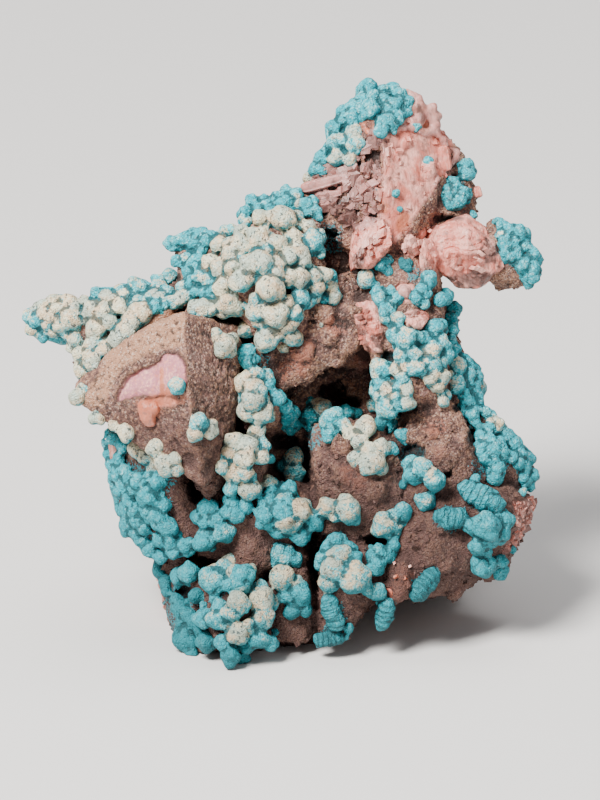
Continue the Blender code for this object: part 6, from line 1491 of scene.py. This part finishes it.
def calcite_material(scene, grain, calcite):
    """Pink calcite: lit a little from inside, glossier than the crust, with painted shade in the
    hollows.
    """
    crust = scene.specimen_matrix
    material, look = new_material("pink calcite")
    pink = calcite_look(look, calcite, scene.specimen_calcite)
    tone = look.group(grain, Size=0.3, Fine=0.4)["Tone"]
    brown = (tone.step(0.84, 0.98) * 0.5).most(look.layer("crust"))
    base = look.cover(
        pink["Color"],
        (look.layer("lilac") * 0.62, scene.specimen_calcite.crumbled),
        (brown, look.blend(tone, crust.shadow, crust.mauve)),
        # Painted shade in the hollows.
        (look.layer("hollow") * 0.7, crust.shadow),
    )
    shader = look.finish(base, 0.42, pink["Height"], CALCITE_BUMP)
    feed(shader, {
        "Subsurface Weight": 0.25, "Subsurface Radius": (1.0, 0.5, 0.4), "Subsurface Scale": 0.0008,
    })
    return material


def coat_material(scene, grain, crackle):
    """The lumps' coat: cream over pale and fresh turquoise, by each lump's own mark, creamier where
    painted light falls on the side facing the light. It is crackled into small cells with lines of
    painted shade, has chalky and tan clouds and dark specks on the cream, and painted glints that
    fade on shaded lumps. Painted shade, deep teal on turquoise and dull on cream, lies in grooves,
    between lumps, at their feet, on the side turned from the light and on shaded lumps. Ribs cross
    the worm-shaped lumps, from how far along its line each point lies, with painted shade in their
    grooves."""
    coat = scene.specimen_coat
    material, look = new_material("veszelyite coat")
    clouds, mottle = look.noise(1100.0, 4.0), look.noise(4500.0, 3.0)
    skin = look.group(crackle, Size=0.42, Width=0.13)
    fine = look.group(grain, Size=0.15, Fine=0.8)
    crease, turned, shade = (look.layer(name) for name in ("crease", "turned", "shade"))
    along = look.layer("along") + look.noise(700.0, 3.0) * 1.5
    wave = maths(look.tree, "SINE", along * (2 * math.pi / RIB_SPACING))
    ribs = wave.step(-0.2, -1.0) * look.layer("ribbed")
    # Painted shade: less cream in creases, in the crackle lines and on the side turned from the light.
    cream = look.layer("cream") + clouds * 1.5 + mottle * 1.1 - crease * 0.3
    cream = cream - skin["Line"] * 0.16 - turned * 0.3 - 1.4
    is_cream = cream.step(0.34, 0.64)
    tan = look.noise(610.0).step(0.43, 0.57) * 0.9
    # Chalky clouds, and painted shade in grey green on the side turned from the light.
    chalk_and_side_shade = ((look.noise(520.0) + mottle * 0.3).step(0.6, 0.74) * 0.8).most(turned * 0.5)
    # Painted glints: light flecks, fewer on shaded lumps.
    light = look.noise(2600.0, 5.0, 0.68).step(0.51, 0.67) * 0.42
    # Painted shade in the crackle lines and the rib grooves.
    line = (skin["Line"] * (0.6 - is_cream * 0.35)).most(ribs * 0.5)
    # The colour of the painted shade: deep teal on turquoise, dull on cream.
    shade_colour = look.blend(is_cream, coat.deep_teal_and_shade, coat.cream_crease_shade)
    flocks = look.noise(760.0).step(0.38, 0.5)
    base = look.cover(
        coat.turquoise,
        (cream.step(0.0, 0.42), coat.pale),
        (is_cream, coat.cream),
        (tan * is_cream, coat.tan),
        (chalk_and_side_shade * is_cream, coat.grey_and_side_shade),
        (mottle.step(0.46, 0.3) * 0.45, coat.deep_teal_and_shade),
        (light * maths(look.tree, "SUBTRACT", 1.0, shade * 1.8, clamp=True), coat.bright),
        # Painted shade: crackle lines, rib grooves, the side turned from the light, shaded lumps,
        # creases.
        (line, shade_colour),
        (turned * 0.42, shade_colour),
        (shade, shade_colour),
        (crease.step(0.2, 0.8) * 0.86, shade_colour),
        (look.noise(2100.0, 3.0, 0.7).step(0.56, 0.61) * flocks * is_cream * 0.85, coat.speck),
    )
    height = fine["Height"] + mottle * 1.2 + skin["Height"] * 1.1 - ribs * 1.6
    shader = look.finish(base, 0.66, height, COAT_BUMP)
    feed(shader, {"Specular IOR Level": 0.35})
    return material


def length_setting(name, text, value, low, high):
    """A length setting, shown in Blender's units."""
    return bpy.props.FloatProperty(
        name=name, description=text, default=value, min=low, max=high, unit="LENGTH", precision=5
    )


def colour_setting(name, text, value):
    """A colour setting."""
    return bpy.props.FloatVectorProperty(
        name=name, description=text, default=value, subtype="COLOR", size=3, min=0.0, max=1.0
    )


class MatrixSettings(bpy.types.PropertyGroup):
    voxel: length_setting("Skin spacing", "Spacing of the crust's points", 0.0004, 0.0002, 0.002)
    roughness: bpy.props.FloatProperty(
        name="Roughness", description="Height of the crust's grains", default=1.0, min=0.0, max=3.0
    )
    crystals: bpy.props.IntProperty(
        name="Crystals", description="Small crystals on the crust", default=5600, min=0, max=15000
    )
    brown: colour_setting("Brown", "Main colour of the crust", (0.12, 0.055, 0.042))
    mauve: colour_setting("Mauve", "Paler, mauve parts of the crust", (0.19, 0.096, 0.081))
    tan: colour_setting("Tan", "Light grains and the tan face", (0.5, 0.255, 0.15))
    # Painted shade low on the face.
    low_painted_shade: colour_setting("Low shade", "Low on the face", (0.058, 0.022, 0.017))
    # Painted glints on the brightest grains.
    grain: colour_setting("Bright grains", "The brightest grains", (0.62, 0.45, 0.36))
    rust: colour_setting("Rust", "Reddish stain", (0.42, 0.12, 0.07))
    shadow: colour_setting("Shadow", "Deep hollows and the darkest grains", (0.022, 0.011, 0.009))
    teal: colour_setting("Teal", "Coat between the lumps", (0.015, 0.24, 0.29))


class CalciteSettings(bpy.types.PropertyGroup):
    pink: colour_setting("Pink", "Main colour of the calcite", (0.62, 0.17, 0.13))
    white: colour_setting("White", "Pale streaks and edges", (0.79, 0.39, 0.32))
    orange: colour_setting("Orange", "Iron stain on the calcite", (0.44, 0.12, 0.055))
    lilac: colour_setting("Lilac", "Fresh calcite in the window", (0.43, 0.155, 0.2))
    crumbled: colour_setting("Crumbled", "Crumbled calcite of the peak", (0.37, 0.225, 0.215))
    step: length_setting("Step", "Height of the cleavage steps", 0.0007, 0.0, 0.002)


class CoatSettings(bpy.types.PropertyGroup):
    spacing: length_setting("Lump spacing", "Spacing of the lumps' points", 0.0002, 0.0001, 0.001)
    turquoise: colour_setting("Turquoise", "Fresh coat", (0.012, 0.385, 0.46))
    pale: colour_setting("Pale", "Chalky turquoise", (0.15, 0.55, 0.585))
    # Painted glints on the coat.
    bright: colour_setting("Bright", "Lightest flecks", (0.68, 0.94, 0.93))
    cream: colour_setting("Cream", "Chalky cream", (0.72, 0.66, 0.45))
    tan: colour_setting("Tan", "Tan clouds on the cream", (0.7, 0.51, 0.31))
    # Grey green of chalky clouds, and painted shade on the cream's side turned from the light.
    grey_and_side_shade: colour_setting("Grey green", "Cool parts of the cream", (0.4, 0.5, 0.42))
    # Deep teal: random mottling, and painted shade in creases and on shaded lumps.
    deep_teal_and_shade: colour_setting("Deep", "Creases and shaded lumps", (0.004, 0.05, 0.058))
    # Painted shade in the creases of the cream.
    cream_crease_shade: colour_setting("Dull", "Creases of the cream", (0.028, 0.045, 0.036))
    speck: colour_setting("Specks", "Dark specks on the cream", (0.015, 0.035, 0.045))


class StageSettings(bpy.types.PropertyGroup):
    distance: length_setting("Camera distance", "From the camera to the specimen", 0.9, 0.3, 3.0)
    height: length_setting("Picture height", "Height that the picture takes in", 0.08696, 0.04, 0.3)
    aim: length_setting("Aim", "Height of the picture's middle on the display face", 0.0288, 0.0, 0.06)
    elevation: bpy.props.FloatProperty(
        name="Elevation", description="Camera's angle above level", default=LEAN, unit="ROTATION"
    )
    floor: colour_setting("Floor", "Plain pale floor", (0.66, 0.645, 0.63))


class SPECIMEN_OT_matrix(bpy.types.Operator):
    """The brown crust that everything grows on, with its small crystals"""

    bl_idname = "specimen.matrix"
    bl_label = "Matrix"

    def execute(self, context):
        settings = context.scene.specimen_matrix
        alone = (LEFT_CRYSTAL, *WHOLE_CRYSTALS)
        shells = [shell for name, shell in SHELLS.items() if name not in alone]
        points, faces, normals = merged_blocks(shells + large_rhombs(), settings.voxel)
        masks = paint(points)
        relief = crust_relief(points, settings.roughness)
        points = points + normals * relief[:, None] + 0.07 * np.stack(
            [soft_noise(points, 0.55, seed) for seed in (121, 122, 123)], axis=-1
        )
        points[:, 2] += HOLLOW_DEPTH * hollow_spots(points)
        # Cavity depth: for painted light on the crests and painted shade in the cavities.
        masks["cavity"] = np.clip(cavity(points, faces, normals, 5) / CAVITY_DEPTH, -1, 1)
        item = add_piece("matrix_crust", "matrix_skin", points, (faces,), masks)
        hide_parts("specimen")
        self.add_crystals(points, normals, settings.crystals)
        return {"FINISHED"}

    @staticmethod
    def add_crystals(points, normals, count):
        """Small rhombs sunk in the skin at chance points, most of them small."""
        random = np.random.default_rng(5)
        chosen = random.choice(len(points), count, replace=False)
        chosen = chosen[to_row(points[chosen])[:, 2] > 0.4 * MM]
        edges = 0.26 + 0.5 * random.uniform(0, 1, len(chosen)) ** 4
        centres = points[chosen] - normals[chosen] * 0.18 * edges[:, None]
        edges = edges[:, None] * random.uniform(0.7, 1.3, (len(chosen), 3))
        points, quads = rhomb_cloud(centres, edges, random_turns(len(chosen), random))
        layers = {name: np.repeat(mask, len(CUBE)) for name, mask in paint(centres).items()}
        layers["cavity"] = np.repeat(random.uniform(-1, 0.6, len(chosen)), len(CUBE))
        add_piece("matrix_crust", "crust_crystals", points, quads, layers, smooth=False)


class SPECIMEN_OT_left_crystal(bpy.types.Operator):
    """The large rhomb on the left, its crust broken away round a pink window"""

    bl_idname = "specimen.left_crystal"
    bl_label = "Left crystal"

    def execute(self, context):
        directions = facing_ball(*LEFT_RINGS)
        faces = ball_faces(*LEFT_RINGS)
        points = crystal_skin(SHELLS[LEFT_CRYSTAL], directions)
        rough = 0.75 + 0.85 * ease(points[:, 1], 27.5, 22.5) + 0.4 * ease(points[:, 0], -10.5, -7.5)
        relief = crust_relief(points, rough) + 0.05 * soft_noise(points, 0.36, 133)
        relief += 0.5 * (rough - 0.6) * soft_noise(points, 1.7, 134)
        masks = paint(points)
        # Painted shade on the lower part of the left crystal, which faces down.
        masks["low"] = np.maximum(masks["low"], 0.75 * ease(points[:, 1], 28.6, 25.0))
        edge = 0.16 * soft_noise(points, 0.5, 131) + 0.18 * soft_noise(points, 1.4, 132)
        inside = inside_depth(WINDOW, points[:, 0], points[:, 1]) + edge
        window = ease(inside, -0.06, 0.1) * (points[:, 2] < 0)
        relief = relief * (1 - window) - window * (0.38 - cleavage_relief(points, 0.35))
        masks["pink"] = np.maximum(masks["pink"], window)
        masks["lilac"] = window
        # Painted shadow: a dark line round the window's rim, where the crust's thickness casts shade.
        rim_shadow = ease(inside, -0.35, -0.06) * ease(inside, 0.3, 0.02)
        masks["hollow"] = np.maximum(masks["hollow"], 0.6 * rim_shadow)
        points = points + directions * relief[:, None]
        # Cavity depth: for painted light on the crests and painted shade in the cavities.
        depth = cavity(points, faces[0], directions, 4) / CAVITY_DEPTH
        masks["cavity"] = np.clip(2 * depth, -1, 1) * (1 - window)
        add_piece("matrix_crust", "left_crystal", points, faces, masks)
        return {"FINISHED"}


class SPECIMEN_OT_calcite(bpy.types.Operator):
    """The pink calcite: stepped crystals, loose rhombs and long blades"""

    bl_idname = "specimen.calcite"
    bl_label = "Pink calcite"

    def execute(self, context):
        step = context.scene.specimen_calcite.step / MM
        self.add_crystals("pink_faces", PAINTED_BLOCKS, step / 2, True)
        self.add_crystals("pink_crystals", WHOLE_CRYSTALS, step, False)
        self.add_rhombs()
        self.add_blades()
        self.add_folds()
        return {"FINISHED"}

    @staticmethod
    def masks(points, crust):
        """The paint layers of the calcite, with the crust left where the paint isn't pink."""
        layers = paint(points)
        wander = soft_noise(points, 0.6, 143)
        crusted = 0.85 * spot_mask(SPOTS["crust"], points[:, 0], points[:, 1], wander)
        layers["crust"] = np.maximum(crust * (1 - layers.pop("pink")), crusted)
        return layers

    def add_crystals(self, piece, names, step, painted):
        """The painted blocks as smooth skins that sink where they aren't pink, or whole crystals
        with flat chips and steps."""
        directions = facing_ball(*CRYSTAL_RINGS)
        points = []
        random = np.random.default_rng(23)
        for name in names:
            if painted:
                skin = crystal_skin(SHELLS[name], directions)
                relief = cleavage_relief(skin, step) + 0.18 * soft_noise(skin, 1.6, 142)
                relief -= SUNK * ease(paint(skin)["pink"], 0.6, 0.2)
            else:
                skin = chipped(SHELLS[name], directions, random)
                relief = cleavage_relief(skin, step)
            points.append(skin + directions * (relief + 0.15)[:, None])
        points = np.vstack(points)
        masks = self.masks(points, float(painted))
        faces = ball_faces(*CRYSTAL_RINGS, len(names))
        add_piece("pink_calcite", piece, points, faces, masks, smooth=painted)

    def add_rhombs(self):
        """Rhombs of one turn in each group, a little unlike each other, sunk in the block."""
        random = np.random.default_rng(17)
        centres, edges, turns = [], [], []
        for name, outline, count, small, large, turn in PINK_GROUPS:
            corners = np.array([corner[:2] for corner in BLOCKS[name]])
            low, high = corners.min(axis=0), corners.max(axis=0)
            place = random.uniform(low, high, (count * 12, 2))
            if outline is not None:
                inside = inside_depth(outline, place[:, 0], place[:, 1]) > 0.2
                place = place[inside]
            margin = np.zeros(len(place))
            depth, outward = sight_depth([SHELLS[name]], place[:, 0], place[:, 1], margin)
            met = np.flatnonzero(np.isfinite(depth))
            seat = np.stack([place[met, 0], place[met, 1], depth[met]], axis=-1)
            clear = np.flatnonzero(hollow_spots(seat) < 0.4)[:count]
            seat, met = seat[clear], met[clear]
            edge = small + (large - small) * random.uniform(0, 1, len(met)) ** 2.2
            centres.append(seat - outward[met] * (0.12 * edge)[:, None])
            edges.append(edge[:, None] * random.uniform(0.55, 1.45, (len(met), 3)))
            if turn:
                turns.append(turned_by(turn + random.normal(0, LOOSE_TURN, (len(met), 3))))
            else:
                turns.append(random_turns(len(met), random))
        centres = np.vstack(centres)
        points, quads = rhomb_cloud(centres, np.vstack(edges), np.vstack(turns))
        layers = self.masks(centres, 0.0)
        mixed = 0.75 * random.uniform(0, 1, len(centres)) ** 2
        layers["crust"] = np.maximum(layers["crust"], mixed)
        layers = {name: np.repeat(mask, len(CUBE)) for name, mask in layers.items()}
        add_piece("pink_calcite", "pink_rhombs", points, quads, layers, smooth=False)

    def add_folds(self):
        """Balls merged into one skin with a slow wave on it, like folded wax."""
        spots = np.array(PINK_FOLDS)
        centres, _ = seat_lumps(spots)
        points = (centres[:, None] + ball(*FOLD_RINGS) * spots[:, None, 2:]).reshape(-1, 3)
        points, faces, normals = merged(points, ball_faces(*FOLD_RINGS, len(spots)), FOLD_SPACING)
        points = relaxed(points, faces, 2)
        ripple = 0.12 * soft_noise(points, 0.9, 171) + 0.06 * soft_noise(points, 0.4, 173)
        points += normals * ripple[:, None]
        layers = self.masks(points, 0.0)
        stained = 0.5 * ease(soft_noise(points, 1.5, 172), 0.1, 0.6)
        layers["stain"] = np.maximum(layers["stain"], stained)
        layers["lilac"] = 0.8 * (points[:, 0] > 8)
        add_piece("pink_calcite", "pink_folds", points, (faces,), layers)

    def add_blades(self):
        """Long crystals: a rounded oblong carried along a line, tapered at its ends."""
        points = []
        for first, last, half_width, half_depth in BLADES:
            seats, _ = seat_lumps(np.array([(*first, half_depth), (*last, half_depth)]))
            points.append(self.blade(*seats, half_width, half_depth, *BLADE_RINGS))
        points = np.vstack(points)
        faces, masks = ball_faces(*BLADE_RINGS, len(BLADES)), self.masks(points, 0.0)
        add_piece("pink_calcite", "pink_blades", points, faces, masks, smooth=False)

    @staticmethod
    def blade(first, last, half_width, half_depth, rings, around):
        """(cos b, sin b) ** 0.4 times the half sizes, carried from end to end and narrowed by
        (1 - share ** 6) ** 0.5, with grooves along it from noise of the angle alone."""
        along = last - first
        length = np.linalg.norm(along)
        along = along / length
        side = np.cross(along, (0.0, 0.0, -1.0))
        side /= np.linalg.norm(side)
        front = np.cross(side, along)
        share = np.linspace(-1, 1, rings + 2)[1:-1, None]
        b = np.arange(around) * 2 * math.pi / around
        boxy = [np.sign(wave) * np.abs(wave) ** 0.4 for wave in (np.cos(b), np.sin(b))]
        ridge = 1 + 0.14 * np.cos(5 * b) * np.cos(3 * b + 1)
        narrow = np.sqrt(1 - share**6) * (1 - 0.15 * share)
        middle = (first + last) / 2 + along * (share * length / 2)[..., None]
        ring = (
            middle + side * (half_width * boxy[0] * narrow * ridge)[..., None]
            + front * (half_depth * boxy[1] * narrow * ridge)[..., None]
        )
        tips = (first + last) / 2 + along * np.array((-0.5, 0.5))[:, None] * length
        return np.vstack([tips[:1], ring.reshape(-1, 3), tips[1:]])


class SPECIMEN_OT_lumps(bpy.types.Operator):
    """The lobed, grown together lumps of the coat, in patches in front and behind"""

    bl_idname = "specimen.lumps"
    bl_label = "Lumps"

    def execute(self, context):
        spacing = context.scene.specimen_coat.spacing
        for place, name in enumerate(("back_lumps", "left_lumps", "middle_lumps", "right_lumps")):
            self.add_patch(name, LUMPS.patch == place, spacing * (1 if place else BACK_COARSER))
        return {"FINISHED"}

    @staticmethod
    def add_patch(name, chosen, spacing):
        """Lobed lumps merged into one skin, with fine bumps and ribs along its normals. A crease, where
        painted shade goes, is where the skin lies in a groove, between rival lumps, or close to the
        crust. What is turned away from the light from above is marked for painted shade, and what
        faces it gets painted light in its cream."""
        points, faces, normals = merged(*lobed_lumps(chosen, len(name)), spacing)
        points = relaxed(points, faces, 1)
        found = LUMPS.at(points, chosen)
        lines = found[:, 3:6]
        ribbed = np.linalg.norm(lines, axis=1)
        along = (points * lines).sum(axis=1)
        near, after = grains(points, BEAD_SPACING, 181)
        fresh = ease(found[:, 0], 0.6, 0.2) * (1 - ribbed) * (1 - found[:, 1])
        beads = np.clip(0.25 + 0.75 * fresh, 0, 1)
        relief = 0.045 * soft_noise(points, 0.75, 161) + BEAD_HEIGHT * beads * (0.5 - near)
        relief += RIB_HEIGHT * ribbed * (np.abs(np.sin(math.pi * along / RIB_SPACING)) - 0.5)
        points = points + normals * relief[:, None]
        step = spacing / MM
        groove = ease(cavity(points, faces, normals, 2) / step, -0.01, 0.12)
        valley = ease(cavity(points, faces, normals, 14) / step, -0.2, 0.4)
        # Painted shade in grooves, valleys, between rival lumps, between beads and at the crust.
        crease = 0.6 * groove + 0.25 * valley + 0.6 * ease(found[:, 6], 0.15, 0.9)
        crease += 0.4 * beads * ease(after - near, 0.2, 0.0)
        crease = np.maximum(crease, 0.45 * ease(block_gap(points), 0.25, -0.2))
        # Painted light on the side that faces the light, painted shade on the side turned from it.
        lit = normals @ np.array(LIGHT_SIDE)
        layers = {
            # The lumps' own cream and a random tone, plus painted light on the side facing the light.
            "cream": found[:, 0] + 0.25 * (found[:, 2] - 0.5) + 0.2 * lit - 0.1,
            "crease": np.minimum(crease, 1),
            "turned": ease(lit, 0.25, -0.6),
            "shade": found[:, 1],
            "ribbed": ribbed,
            "along": along,
        }
        add_piece("veszelyite", name, points, (faces,), layers)


class SPECIMEN_OT_stage(bpy.types.Operator):
    """The pale floor, the soft lights and the camera"""

    bl_idname = "specimen.stage"
    bl_label = "Stage"

    def execute(self, context):
        scene = context.scene
        settings = scene.specimen_stage
        self.add_floor(settings)
        self.add_camera(scene, settings)
        for light in LIGHTS:
            self.add_light(*light)
        world = bpy.data.worlds.new("soft studio")
        world.use_nodes = True
        feed(world.node_tree.nodes["Background"], {"Color": (0.93, 0.95, 1.0), "Strength": 0.22})
        scene.world = world
        return {"FINISHED"}

    @staticmethod
    def add_floor(settings):
        """A flat square just under the base."""
        mesh = bpy.data.meshes.new("floor")
        square = ((-1, -1), (1, -1), (1, 1), (-1, 1))
        corners = [(FLOOR_HALF * x, FLOOR_HALF * y, -FLOOR_GAP) for x, y in square]
        mesh.from_pydata(corners, [], [(0, 1, 2, 3)])
        material, look = new_material("pale floor")
        paper = look.noise(90.0, 6.0)
        tone = look.blend(paper * 0.12, settings.floor, (0.7, 0.68, 0.66))
        look.finish(tone, 0.85, paper, FLOOR_BUMP)
        mesh.materials.append(material)
        item = bpy.data.objects.new("floor", mesh)
        bpy.context.scene.collection.objects.link(item)

    @staticmethod
    def add_camera(scene, settings):
        """A long lens that looks level with the display face's lean."""
        lens = bpy.data.cameras.new("camera")
        lens.sensor_width = 36.0
        lens.lens = lens.sensor_width * settings.distance / settings.height
        lens.clip_start = 0.05
        target = Vector(to_row(np.array(((0.0, settings.aim / MM, 0.0),)))[0])
        sight = Vector((0.0, math.cos(settings.elevation), -math.sin(settings.elevation)))
        camera = bpy.data.objects.new("camera", lens)
        camera.location = target - sight * settings.distance
        camera.rotation_euler = sight.to_track_quat("-Z", "Y").to_euler()
        scene.collection.objects.link(camera)
        scene.camera = camera

    @staticmethod
    def add_light(name, place, size, power, colour):
        """A square area light that faces the specimen."""
        lamp = bpy.data.lights.new(name, "AREA")
        lamp.size = size
        lamp.energy = power
        lamp.color = colour
        item = bpy.data.objects.new(name, lamp)
        item.location = place
        aim = Vector((0.0, 0.0, 0.03)) - Vector(place)
        item.rotation_euler = aim.to_track_quat("-Z", "Y").to_euler()
        bpy.context.scene.collection.objects.link(item)


class SPECIMEN_PT_sidebar(bpy.types.Panel):
    """The specimen's pieces and their settings"""

    bl_idname = "SPECIMEN_PT_sidebar"
    bl_label = "Veszelyite Specimen"
    bl_space_type = "VIEW_3D"
    bl_region_type = "UI"
    bl_category = "Specimen"

    def draw(self, context):
        for title, settings, names in SECTIONS:
            box = self.layout.box()
            box.label(text=title)
            for name in names:
                box.operator(name)
            group = getattr(context.scene, settings)
            for field in group.__annotations__:
                box.prop(group, field)


SECTIONS = (
    ("Matrix", "specimen_matrix", ("specimen.matrix", "specimen.left_crystal")),
    ("Pink calcite", "specimen_calcite", ("specimen.calcite",)),
    ("Coat", "specimen_coat", ("specimen.lumps",)),
    ("Stage", "specimen_stage", ("specimen.stage",)),
)
SETTINGS = {
    "specimen_matrix": MatrixSettings,
    "specimen_calcite": CalciteSettings,
    "specimen_coat": CoatSettings,
    "specimen_stage": StageSettings,
}
CLASSES = (
    *SETTINGS.values(), SPECIMEN_OT_matrix, SPECIMEN_OT_left_crystal, SPECIMEN_OT_calcite,
    SPECIMEN_OT_lumps, SPECIMEN_OT_stage, SPECIMEN_PT_sidebar,
)
# The materials made so far, by slot.
MADE = {}


def materials():
    """The material of each slot, made once."""
    if not MADE:
        scene, grain = bpy.context.scene, grain_group()
        calcite = calcite_group(grain)
        MADE["matrix_crust"] = crust_material(scene, grain, calcite)
        MADE["pink_calcite"] = calcite_material(scene, grain, calcite)
        MADE["veszelyite"] = coat_material(scene, grain, crackle_group())
    return MADE


def register():
    for item in CLASSES:
        bpy.utils.register_class(item)
    for name, settings in SETTINGS.items():
        setattr(bpy.types.Scene, name, bpy.props.PointerProperty(type=settings))


def unregister():
    for name in SETTINGS:
        delattr(bpy.types.Scene, name)
    for item in reversed(CLASSES):
        bpy.utils.unregister_class(item)


def main():
    register()
    bpy.ops.specimen.matrix()
    bpy.ops.specimen.left_crystal()
    bpy.ops.specimen.calcite()
    bpy.ops.specimen.lumps()
    bpy.ops.specimen.stage()


if __name__ == "__main__":
    main()
